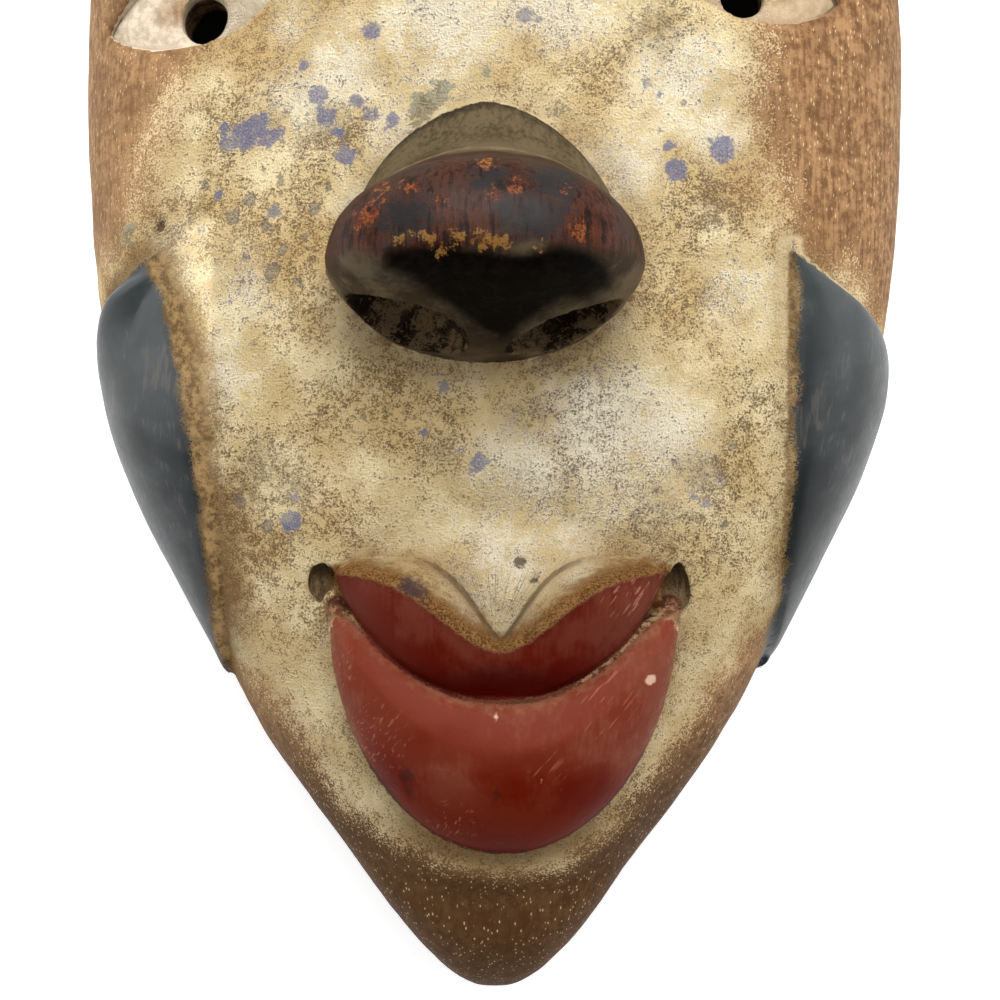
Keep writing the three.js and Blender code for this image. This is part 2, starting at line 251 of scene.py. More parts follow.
def block_point(y, angle):
    """A point of the block's front, at a place along the mask and an angle round its section."""
    reach = arch_reach(angle)
    x = read_table(outline, y) * reach * np.sin(angle)
    high = reach * np.maximum(np.cos(angle), 0)
    z = read_table(profile, y) * high + soft_carving(x, y) * fade_at_sides(high)
    return np.stack([x, y + 0 * x, z], -1)


def face_height(x, y):
    across = np.clip(np.abs(x) / np.maximum(read_table(outline, y), 1e-6), 0, 1)
    high = (1 - across ** fullness) ** (1 / fullness)
    return read_table(profile, y) * high + soft_carving(x, y) * fade_at_sides(high)


def block_normal(y, angle):
    power = fullness - 1
    s, c = np.sin(angle), np.cos(angle)
    across = np.sign(s) * np.abs(s) ** power / read_table(outline, y)
    upward = np.abs(c) ** power / read_table(profile, y)
    normal = np.stack([across, 0 * across, upward], -1)
    return normal / np.linalg.norm(normal, axis=-1)[..., None]


def angle_out(x, y):
    across = np.clip(x / np.maximum(read_table(outline, y), 1e-6), 0, .985)
    return np.arctan2(across, (1 - across ** fullness) ** (1 / fullness))


def loft(rings, first, last):
    """A closed surface through rings of points, drawn to a point at each end."""
    rings = np.asarray(rings, float)
    rows, count = rings.shape[:2]
    points = np.vstack([[first], rings.reshape(-1, 3), [last]])
    j = np.arange(count)
    k = (j + 1) % count
    faces = [np.stack([0 * j, 1 + k, 1 + j], 1)]
    for row in range(rows - 1):
        a, b = 1 + row * count + j, 1 + row * count + k
        faces += [np.stack([a, b, b + count], 1), np.stack([a, b + count, a + count], 1)]
    tail = 1 + (rows - 1) * count
    faces.append(np.stack([0 * j + len(points) - 1, tail + j, tail + k], 1))
    faces = np.vstack(faces)
    corners = points[faces]
    volume = np.einsum("ij,ij->", corners[:, 0], np.cross(corners[:, 1], corners[:, 2]))
    return points, faces if volume > 0 else faces[:, ::-1]


def row_places(rows, crowding):
    """Shares from 0 to 1 without the ends, closer together towards both ends."""
    even = np.arange(1, rows) / rows
    return mix(even, (1 - np.cos(np.pi * even)) / 2, crowding)


def arched_block(rows, columns, outline_table, profile_table, below, carved):
    start, stop = outline_table[0, 0], outline_table[-1, 0]
    angles = np.linspace(-np.pi / 2, np.pi / 2, columns + 1)
    rings = []
    for share in row_places(rows, .4):
        y = mix(start, stop, share)
        width = float(read_table(outline_table, y))
        if carved:
            ring = block_point(y, angles)
        else:
            reach = arch_reach(angles)
            depth = max(float(read_table(profile_table, y)), 1)
            ring = np.stack([width * reach * np.sin(angles), 0 * angles + y,
                             depth * reach * np.maximum(np.cos(angles), 0)], -1)
        ring[[0, -1], 2] = 0
        if below:
            ring = np.vstack([ring, [(width, y, -below), (-width, y, -below)]])
        rings.append(ring)
    return loft(rings, (0, start, -below / 2), (0, stop, -below / 2))


def patch(rows, columns, place, height_at, floor):
    """A raised or sunken patch: place(u, v, height) puts a point on the carved face."""
    strip = np.linspace(0, 1, columns)
    rings = []
    for u in row_places(rows, 1):
        top = place(u + 0 * strip, strip, height_at(u + 0 * strip, strip))
        foot = place(np.array([u, u]), np.array([1., 0.]), floor)
        rings.append(np.vstack([top, foot]))
    ends = [place(np.array([float(end)]), np.array([.5]), floor / 2)[0] for end in (0, 1)]
    return loft(rings, *ends)


def nose_body():
    levels = np.array(nose_levels)
    base = float(face_height(nose_shift, nose_y))
    cap = levels[-2, 0]
    closing = np.sin(np.linspace(0, np.pi / 2, 16))[1:-1]
    heights = np.r_[np.linspace(-.16, cap, nose_rows - 14), mix(cap, 1, closing)]
    read = [monotone(levels[:, 0], levels[:, column], np.minimum(heights, cap))
            for column in range(1, 5)]
    # Above the last full level the tip closes like a dome.
    dome = np.sqrt(np.clip((1 - heights) / (1 - cap), 0, 1))
    read[:3] = [column * dome for column in read[:3]]
    rings = []
    turn = np.linspace(0, 2 * np.pi, nose_columns, endpoint=False)
    along, across = np.sin(turn), np.cos(turn)
    for height, rise, drop, width, rounded in zip(heights, *read):
        spread = np.where(along > 0, np.abs(across) ** (2 * rounded), np.abs(across))
        x = nose_shift + np.sign(across) * spread * width * nose_width / 2
        y = nose_y + along * np.where(along > 0, rise * nose_rise, drop * nose_drop)
        y = y + nose_tip_up * smooth(height, cap, 1)
        rings.append(np.stack([x, y, 0 * x + base + height * nose_height], -1))
    return loft(rings, (nose_shift, nose_y, base - .16 * nose_height),
                (nose_shift, nose_y + nose_tip_up, base + nose_height))


def monotone(known, values, wanted):
    """Reads values smoothly between the known places, without swinging past them."""
    step = np.diff(known)
    slope = np.diff(values) / step
    lean = np.r_[slope[0], (slope[:-1] + slope[1:]) / 2, slope[-1]]
    flat = np.r_[False, slope[:-1] * slope[1:] <= 0, False]
    lean[flat] = 0
    limit = 3 * np.minimum(np.r_[np.inf, np.abs(slope)], np.r_[np.abs(slope), np.inf])
    lean = np.sign(lean) * np.minimum(np.abs(lean), limit)
    i = np.clip(np.searchsorted(known, wanted) - 1, 0, len(step) - 1)
    t = (wanted - known[i]) / step[i]
    return ((1 + 2 * t) * (1 - t) ** 2 * values[i] + t * (1 - t) ** 2 * step[i] * lean[i]
            + t * t * (3 - 2 * t) * values[i + 1] - t * t * (1 - t) * step[i] * lean[i + 1])


def turning(turn_z, turn_x):
    """Matrices of a turn about Z and of one about X."""
    cz, sz, cx, sx = math.cos(turn_z), math.sin(turn_z), math.cos(turn_x), math.sin(turn_x)
    return (np.array([(cz, -sz, 0), (sz, cz, 0), (0, 0, 1)]),
            np.array([(1, 0, 0), (0, cx, -sx), (0, sx, cx)]))


def ball(size, turn_z, turn_x, middle, rows=40, columns=56):
    """A stretched ball, turned about Z and then about X."""
    polar = np.pi * np.arange(1, rows) / rows
    turn = np.linspace(0, 2 * np.pi, columns, endpoint=False)
    rings = [np.stack([np.sin(p) * np.cos(turn), np.sin(p) * np.sin(turn), 0 * turn + np.cos(p)], -1)
             for p in polar]
    points, faces = loft(rings, (0, 0, 1), (0, 0, -1))
    points = points * size
    about_z, about_x = turning(turn_z, turn_x)
    return points @ about_z.T @ about_x.T + middle, faces


def nostril_place(side):
    """A nostril's turns about Z and X, and its middle."""
    base = float(face_height(nose_shift, nose_y))
    middle = (nose_shift + side * nostril_apart / 2, nose_y - nostril_drop, base + nostril_lifts[side])
    return math.radians(nostril_splay) * side, math.radians(nostril_tilt), middle


def nostril(side):
    return ball(nostril_sizes[side], *nostril_place(side))


def parting(across):
    return mouth_y - upper_lip_drop * np.maximum(1 - across ** 2, 0) ** .75


def upper_edge(across):
    out = np.abs(across)
    peaks = upper_lip_peak * np.maximum(1 - out ** 6, 0) ** .6
    return mouth_y + peaks - (upper_lip_notch + upper_lip_peak) * np.exp(-(out / .25) ** 1.4)


def crest_line(across):
    return mouth_y - upper_lip_crest * bell(across, .47)


def across_lip(u):
    return np.sin(np.pi * (u - .5))


def upper_lip():
    def place(u, v, height):
        across = across_lip(u)
        x = mouth_shift + across * mouth_width / 2
        crest = np.clip(crest_line(across), parting(across), upper_edge(across))
        y = np.where(v < crest_share, mix(upper_edge(across), crest, v / crest_share),
                     mix(crest, parting(across), (v - crest_share) / (1 - crest_share)))
        return np.stack([x, y, face_height(x, y) + height], -1)

    def height_at(u, v):
        full = upper_lip_relief * (1 - .3 * bell(across_lip(u), .3)) * roll(u, .5)
        bevel = np.sin(np.pi / 2 * np.clip(v / crest_share, 0, 1)) ** .9
        under = 1 - .42 * ((v - crest_share) / (1 - crest_share)) ** 2
        return mix(lip_edge, full, np.where(v < crest_share, bevel, under))

    return patch(lip_rows, lip_columns, place, height_at, -pad_sink)


def lower_lip_lines(across):
    corner = mouth_y - lower_lip_corner
    top = np.minimum(parting(across * lower_lip_width / mouth_width),
                     mix(corner, parting(across), np.sqrt(np.maximum(1 - across ** 2, 0))))
    return top, corner - lower_lip_drop * np.maximum(1 - across ** 2, 0) ** .52


def lower_lip():
    def place(u, v, height):
        across = across_lip(u)
        x = mouth_shift + lower_lip_shift + across * lower_lip_width / 2
        top, low = lower_lip_lines(across)
        y = mix(top + lip_groove, low, v)
        return np.stack([x, y, face_height(x, y) + height], -1)

    def height_at(u, v):
        slope = np.maximum(1 - np.maximum(v - .35, 0) ** 2 / .45, 0) ** .6
        risen = mix(.6, 1, np.clip((v - groove_share) / .25, 0, 1) ** .7)
        full = mix(.42, risen, smooth(v, groove_share - .03, groove_share + .03))
        return mix(lip_edge, lower_lip_relief, full * slope * roll(u, .5))

    return patch(lip_rows, lip_columns, place, height_at, -pad_sink)


def pad_turn(side, u, v, y):
    sweep = math.radians(pad_sweep) * np.maximum(1 - (2 * u - 1) ** 2, 0) ** 1.4
    return np.minimum(angle_out(pad_fronts[side] * half_width, y) + v * sweep, 1.5)


def side_pad(side):
    def place(u, v, height):
        y = mix(along_mask(pad_foot), along_mask(pad_tops[side]), u)
        angle = side * pad_turn(side, u, v, y)
        lift = np.asarray(height + 0 * u)[..., None]
        return block_point(y, angle) + block_normal(y, angle) * lift

    def height_at(u, v):
        height = mix(pad_edge, pad_relief, roll(u, .5) * roll(v, .6))
        # The left one's upper front corner is worn down into the cheek.
        worn = np.maximum(smooth(u, .5, .85) * (1 - smooth(v, .35, .9)),
                          smooth(u, .82, .92)) if side < 0 else 0
        return height - worn * (height + 1.6)

    return patch(pad_rows, pad_columns, place, height_at, -pad_sink)


def eye_cut(side):
    slant = math.radians(-eye_slant) * side

    def place(u, v, height):
        along = (u - .5) * eye_lengths[side]
        opening = eye_opening / 2 * np.maximum(1 - (2 * u - 1) ** 2, 0) ** .8
        across = mix(-opening, opening, v)
        x = eye_x[side] + along * math.cos(slant) - across * math.sin(slant)
        y = eye_y[side] + along * math.sin(slant) + across * math.cos(slant)
        return np.stack([x, y, face_height(x, y) + height], -1)

    def height_at(u, v):
        return -eye_depth + eye_bulge * roll(u, .7) * roll(v, .7)

    return patch(eye_rows, eye_columns, place, height_at, nose_height / 4)


def eye_hole(side):
    turn = np.linspace(0, 2 * np.pi, 48, endpoint=False)
    x = eye_x[side] - side * eye_holes_in[side]
    y = eye_y[side] - eye_hole_drop
    rings = [np.stack([x + eye_hole_radius * np.cos(turn), y + eye_hole_radius * np.sin(turn),
                       0 * turn + height], -1) for height in np.linspace(bore_floor, bore_top, 32)]
    return loft(rings, (x, y, bore_floor), (x, y, bore_top))


def mouth_pit(side):
    x = mouth_shift + side * (mouth_width / 2 + pit_gap)
    y = mouth_y - pit_drop
    middle = np.array((x, y, float(face_height(x, y))))
    points, faces = ball(pit_size, 0, 0, tuple(middle), 20, 28)
    return middle + (points - middle) * (1.14 + .62 * lumps(points, 3, 12))[:, None], faces


def mesh_object(name, points, faces):
    mesh = bpy.data.meshes.new(name)
    mesh.from_pydata(points.tolist(), [], faces.tolist())
    made = bpy.data.objects.new(name, mesh)
    bpy.context.scene.collection.objects.link(made)
    return made


def drop_stray_faces(work):
    """Takes off triangles that the welding made twice or left hanging by an edge."""
    work.verts.index_update()
    seen = {}
    stray = []
    for face in work.faces:
        corners = tuple(sorted(vert.index for vert in face.verts))
        if corners in seen:
            stray += [seen[corners], face]
        seen[corners] = face
    while True:
        bmesh.ops.delete(work, geom=stray, context="FACES")
        open_edges = [edge for edge in work.edges if len(edge.link_faces) == 1]
        ends = dict.fromkeys(face for edge in open_edges for face in edge.link_faces)
        stray = [face for face in ends if any(len(side.link_faces) > 2 for side in face.edges)]
        if not stray:
            return


def carved_mesh():
    """The whole carving as points and triangles: the block, what stands on it and what is cut away."""
    body = mesh_object("block", *arched_block(face_rows, face_columns, outline, profile, 0, True))
    raised = [nose_body(), upper_lip(), lower_lip(), *(side_pad(side) for side in sides)]
    hollow = arched_block(hollow_rows, hollow_columns, hollow_outline, hollow_profile,
                          hollow_overrun, False)
    cuts = [hollow]
    for side in sides:
        cuts += [eye_cut(side), eye_hole(side), nostril(side), mouth_pit(side)]
    tools = []
    for step, (points, faces) in enumerate(raised + cuts):
        tool = mesh_object("tool", points, faces)
        tools.append(tool)
        work = body.modifiers.new("work", "BOOLEAN")
        work.operation = "UNION" if step < len(raised) else "DIFFERENCE"
        work.solver = "MANIFOLD"
        work.object = tool
    seen = body.evaluated_get(bpy.context.evaluated_depsgraph_get())
    mesh = bpy.data.meshes.new_from_object(seen)
    for made in tools + [body]:
        old = made.data
        bpy.data.objects.remove(made)
        bpy.data.meshes.remove(old)
    work = bmesh.new()
    work.from_mesh(mesh)
    bmesh.ops.remove_doubles(work, verts=work.verts, dist=weld_gap)
    bmesh.ops.dissolve_degenerate(work, edges=work.edges, dist=sliver)
    bmesh.ops.triangulate(work, faces=work.faces)
    drop_stray_faces(work)
    work.to_mesh(mesh)
    work.free()
    mesh.calc_loop_triangles()
    points = np.empty(len(mesh.vertices) * 3)
    mesh.vertices.foreach_get("co", points)
    faces = np.empty(len(mesh.loop_triangles) * 3, int)
    mesh.loop_triangles.foreach_get("vertices", faces)
    bpy.data.meshes.remove(mesh)
    return points.reshape(-1, 3), faces.reshape(-1, 3)


class Surface:
    """The carving's points and triangles, with what is measured on them."""

    def __init__(self, points, faces):
        self.points = points
        self.faces = faces
        self.start = np.r_[faces[:, 0], faces[:, 1], faces[:, 2]]
        self.end = np.r_[faces[:, 1], faces[:, 2], faces[:, 0]]
        self.number = np.maximum(np.bincount(self.start, minlength=len(points)), 1)

    def averaged(self, values):
        """The mean of the neighbours of each point."""
        flat = values.reshape(len(values), -1)
        sums = [np.bincount(self.start, column[self.end], minlength=len(values)) for column in flat.T]
        return (np.stack(sums, -1) / self.number[:, None]).reshape(values.shape)

    def normals(self):
        """Unit normals, and how sharply the surface turns at each point: 0 where it is flat."""
        corners = self.points[self.faces]
        across = np.cross(corners[:, 1] - corners[:, 0], corners[:, 2] - corners[:, 0])
        area = np.linalg.norm(across, axis=1)
        total = np.zeros_like(self.points)
        weight = np.zeros(len(self.points))
        for corner in self.faces.T:
            total += np.stack([np.bincount(corner, column, minlength=len(weight))
                               for column in across.T], -1)
            weight += np.bincount(corner, area, minlength=len(weight))
        size = np.maximum(np.linalg.norm(total, axis=1), 1e-12)
        return total / size[:, None], 1 - size / np.maximum(weight, 1e-12)

    def soften(self, times):
        """Rounds the sharp edges and corners, and leaves the rest alone."""
        sharp = smooth(self.normals()[1], .008, .05)
        for _ in range(2):
            sharp = np.maximum(sharp, self.averaged(sharp))
        for _ in range(times):
            self.points = self.points + .5 * sharp[:, None] * (self.averaged(self.points) - self.points)

    def concavity(self, rings):
        """How hollow (positive) or ridged (negative) the surface is, per millimetre."""
        normal = self.normals()[0]
        run = np.linalg.norm(self.points[self.end] - self.points[self.start], axis=1)
        spacing = np.bincount(self.start, run, minlength=len(self.points)) / self.number
        bend = ((self.averaged(self.points) - self.points) * normal).sum(1)
        bend = bend / np.maximum(spacing, .4) ** 2
        for _ in range(rings):
            bend = mix(bend, self.averaged(bend), .7)
        return bend


def lumps(places, size, seed):
    """Smooth random heights from -1 to 1, whose swells are about size millimetres across."""
    table = np.random.default_rng(seed).uniform(-1, 1, (48, 48, 48))
    cell = places / size
    low = np.floor(cell).astype(int)
    part = cell - low
    part = part * part * (3 - 2 * part)
    total = np.zeros(len(places))
    for corner in itertools.product((0, 1), repeat=3):
        at = (low + corner) % 48
        weight = np.prod(np.where(corner, part, 1 - part), axis=1)
        total += weight * table[at[:, 0], at[:, 1], at[:, 2]]
    return total


def unevenness(places, size, seed):
    """Cloudy variation about one half, mostly between .3 and .7, with swells of a size and finer ones."""
    turned = places @ np.array([(.36, .48, -.8), (-.8, .6, 0), (.48, .64, .6)])
    total = sum(.6 ** step * lumps(turned, size / 2 ** step, seed + step) for step in range(4))
    return .5 + .115 * total / total.std()


def inside_loop(x, y, loop):
    """Distance from the edge of a closed loop in the front view: positive inside it."""
    loop = np.asarray(loop, float)
    nearest = np.full(len(x), 1e9)
    within = np.zeros(len(x), bool)
    for (ax, ay), (bx, by) in zip(loop, np.roll(loop, -1, axis=0)):
        run_x, run_y = bx - ax, by - ay
        squared = max(run_x ** 2 + run_y ** 2, 1e-9)
        share = np.clip(((x - ax) * run_x + (y - ay) * run_y) / squared, 0, 1)
        nearest = np.minimum(nearest, np.hypot(x - ax - share * run_x, y - ay - share * run_y))
        crosses = (ay > y) != (by > y)
        within ^= crosses & (x < ax + run_x * (y - ay) / (run_y if run_y else 1e-9))
    return np.where(within, nearest, -nearest)


def near_marks(x, y, marks):
    """Distance inside the nearest of some round marks (x, y, radius), negative outside."""
    best = np.full(len(x), -1e3)
    for mark_x, mark_y, radius in marks:
        best = np.maximum(best, radius - np.hypot(x - mark_x, y - mark_y))
    return best


# Marks in the front view, in millimetres from the middle of the mask: x, y, radius.
blue_spots = [
    (-24.3, 42, 1.9), (6.3, 45, 1.8), (9, 44, 1), (-38.1, 35.4, 1.3), (-35.5, 29.5, 2.2),
    (-33.7, 25, 2.4), (-31.5, 21.8, 1.5), (-50.5, 22, 3.0), (-47.6, 24, 2.6), (-53.8, 20.8, 2),
    (-45.4, 21, 1.9), (-55, 24, 1.3), (-42.6, 22.6, 1.2), (-27.7, 28, 1.6), (-24.7, 25.6, 1.7),
    (-20.3, 24.4, 1.7), (-22.6, 22.8, .9), (-29.7, 17, 2.2), (30.9, 32, 1.3), (33.4, 30, .8),
    (46.3, 18.8, 2.9), (44, 20.2, 1.1), (35.3, 19.4, 1.4), (36.7, 14.4, 2.4), (33.8, 22.4, .7),
    (-44.3, 6, 1.7), (-59.7, 3.6, 1.4), (-10.1, -29, 1.5), (-11.3, -27.2, .8), (-2.7, -44, 1.9),
    (-4.5, -46, .9), (-6.5, -41.6, 1), (-41.1, -56, 2.3), (-40, -51, 1.2), (-14.2, -38.5, 1.1),
    (40.5, -51, 1), (43, -53, 1.2), (45.8, -48, 1.1), (-56, 10, 1.2), (3.2, 74, 1.8), (-16, 66, 1.5),
    (24, 88, 2.1), (-31, 97, 1.7), (12, 112, 1.3), (38, 76, 1.4)]
flaking_patches = [
    (-13.5, 27.5, 3.4), (-10.5, 30.5, 2.8), (-15.5, 24.5, 2.4), (13, 26, 2), (-2, 33.5, 1.6),
    (-77, 4, 2.4)]
grey_drops = [
    (-43, 12.5, 1.3), (-40, 8, 1.1), (-46, 3.5, 1.5), (-38, 1, 1.3), (-49.5, 8.8, 1.6), (-36, 6.5, 1.6),
    (-42.5, -1.5, 1.4), (-53, 5.5, 1.7), (-44.5, -6, 1.8), (-50, -2.5, 1.1), (-39.4, -8.2, 1.2),
    (-35.2, -3, .9), (-47, 14.6, 1), (-33.5, 11, 1.2), (-56, -3.5, 1.1), (-58.8, 12.5, 1.3),
    (-51, -9.8, 1), (28, 41, 1.1), (33, 36.5, .9), (38, 28, 1.2), (27.6, 27, .8), (-46, -57, 1.6),
    (-52, -52, 1.8), (47, -57, 1.2), (33, -50, 1), (48.5, -41, 1.3), (36, -44, .9), (18, -56, .8),
    (-26, -35, 1), (-8, 84, 1.6), (20, 77, 1.3), (-26, 88, 1.4)]
grey_patches = [
    (-48, -43, 7.5), (-40, -48, 5), (-49.5, -50, 4), (35, -55, 5), (44, -46, 6.5), (52, -30, 4),
    (-34, 23, 6), (-50, 22, 6), (4, -36, 5), (-10, -42, 4), (42, -56, 4), (45, 5, 6), (33, 45, 6),
    (-14, 50, 5), (-30, 80, 9), (26, 70, 7), (10, 100, 9), (-12, 118, 8)]
white_patches = [
    (0, -62, 9), (-3, -71, 7), (4, -75, 5), (14, -60, 6), (-40, 44, 5), (8, 48, 8), (60, 20, 4),
    (-21, 24, 5), (-24, 17, 4), (-18, 28, 4), (-25, 10, 3), (22, 16, 3), (20, -38, 16), (34, -41, 12),
    (8, -45, 12), (27, -48, 9), (-10, 44, 12), (12, 50, 12), (26, 14, 8), (-20, 20, 6), (-14, 32, 7),
    (38, 34, 10), (45, 22, 7), (-30, 34, 9), (4, -64, 9), (-6, -68, 6), (16, -68, 6), (-38, 30, 8),
    (-66, 0, 4), (-50, -8, 6), (48, -8, 7), (-55, -25, 7), (0, 62, 12), (-24, 74, 9), (30, 92, 13),
    (-34, 104, 10)]
tan_patches = [
    (-45, 40, 9), (-32, 46, 8), (-20, 40, 8), (-10, 44, 7), (2, 40, 6), (-26, 0, 6), (30, -20, 8),
    (-37, -2, 11), (-33, -18, 9), (-44, -30, 8), (-20, -36, 8), (36, -8, 10), (42, -20, 9), (25, 30, 9),
    (30, 18, 8), (-52, 36, 9), (-30, -48, 9), (-14, -60, 7), (50, 10, 8), (-48, 12, 8), (52, -45, 8),
    (12, 40, 8), (-8, 38, 7), (0, -30, 12), (-55, -60, 8), (48, -75, 8), (-46, -82, 8), (20, 60, 10)]
nose_chips = [
    (-20.0, 4.6, 1.1), (-19.5, 2.0, 1.3), (-21.8, -1.0, 1.5), (-23.4, -2.4, 1.3), (-14.5, 3.1, 1.6),
    (-9.1, -.3, .8), (-1.0, 7.7, 1.5), (.1, 1.5, .9), (3.9, 2.9, 1.2), (12.4, 3.0, .9),
    (14.8, -5.5, 1.3), (15.8, -3.8, .9)]
ochre_chips = [
    (-6.5, -6.2, 1.5), (-2.2, -6.6, 1.5), (1.4, -7.4, 1.1), (-10.9, -6.8, 1), (-13, -6.2, .6),
    (8, -8, .4), (-16.2, -6.4, 1), (-1.0, 7.9, .9), (-20, 3.2, .6), (-9, -8.5, .9)]
nose_blues = [
    (-15.3, -3.1, 4.2), (11.0, 4.5, 4.4), (-.5, 5.0, 3.6), (8.3, -2.4, 4.0), (4, -1.6, 3.0)]
lip_chips = [(30.8, -86.8, 1.2), (.3, -93.6, .9), (-11.3, -69.8, .7), (9.5, -106, .6)]
dirt_patches = [
    (46, -60, 8), (37, -78, 7), (50, -46, 8), (-38, -74, 6), (-14, 52, 5), (22, 50, 4), (40, 44, 5),
    (-58, 26, 6), (-6, -34, 4), (16, -44, 4), (-34, -34, 5), (-30, 20, 4), (36, 8, 5), (-55, 14, 8),
    (-44, 8, 7), (-36, -8, 6), (-47, -18, 7), (-52, -36, 8), (-20, 30, 6), (30, -4, 6), (48, 2, 8),
    (38, -14, 7), (-24, -28, 7), (12, -30, 7), (26, -26, 6), (50, -34, 6), (-44, -66, 7), (40, -70, 6),
    (-26, -58, 5), (24, 34, 5), (-68, 8, 8), (-8, 92, 9), (34, 106, 8)]
lip_scratches = [
    (28, -67.5, 8), (-23, -98, 8), (-8.4, -115, 5), (11, -104, 4), (22, -91, 7), (-30, -84, 5)]
lip_scars = [(-17.0, -105.7, 1.7), (-16.6, -109, 1.2), (.6, -108.5, 1.3)]
pits = [
    (5.3, -63.9, 1.6), (7.9, -67.5, 1.2), (2.8, -63.2, 1), (-69.2, 4.9, 1.7), (9, -66, .8),
    (1, -73, .6), (-4, -71.4, .6), (-59.6, 41, 1.0)]

# Loops in the front view, in millimetres from the middle of the mask.
nose_under = [
    (-19.4, -10.8), (-18.3, -8.2), (-13, -7.6), (-6.7, -7.8), (4.9, -9), (12, -7.6), (17, -8.4),
    (20.5, -10.6), (21.3, -12.9), (17.7, -14.8), (12.2, -15.8), (6.8, -18.6), (2.6, -21.5), (-2.4, -20),
    (-7.8, -16.8), (-13.3, -13.4)]
left_temple = [
    (-57, 46), (-61, 38), (-65, 30), (-67.5, 22), (-71, 12), (-74, 5), (-77, 0), (-100, -4),
    (-100, 110), (-66, 92), (-60, 64)]
right_temple = [
    (54, 52), (53.5, 44), (54.2, 34), (55, 22), (57, 10), (60.5, 1), (63, -3), (70, -5.5), (80, -17),
    (100, -22), (100, 110), (64, 92), (57, 66)]
chin = [
    (-70, -76), (-52, -86), (-44, -95), (-36.5, -105), (-29.5, -116), (-18, -123.5), (1, -127),
    (14, -124), (24, -116.5), (31, -108), (37, -101), (46, -88), (60, -76), (60, -175), (-60, -175)]
black_fronts = {
    -1: [(-88.8, 58.2), (-82.1, 59.6), (-68.8, 60.6), (-56.1, 61.4), (-45.8, 62.6), (-31.5, 64),
         (-19.2, 66.6), (-11, 68.8), (-3.5, 72.2), (3, 76), (10, 82)],
    1: [(-88.8, 59.5), (-82.6, 59.6), (-73.5, 60.6), (-64.7, 61.6), (-45.8, 61.6), (-31.5, 61.4),
        (-11.2, 61.6), (-2.1, 61.8), (10, 63)]}

round_marks = {
    "blue_spots": blue_spots, "flaking": flaking_patches, "drops": grey_drops, "grey": grey_patches,
    "white": white_patches, "tan": tan_patches, "red_chips": nose_chips, "ochre_chips": ochre_chips,
    "nose_blue": nose_blues, "lip_chips": lip_chips, "lip_scars": lip_scars,
    "lip_scratches": lip_scratches, "dirt_and_darkening": dirt_patches, "pits": pits,
    "bruise": [(-16, -68.5, 2.4), (-13.6, -69.6, 1.6)]}


def lip_loop(across, top, low):
    x = mouth_shift + across * mouth_width / 2
    return list(zip(x, top)) + list(zip(x[::-1], low[::-1]))


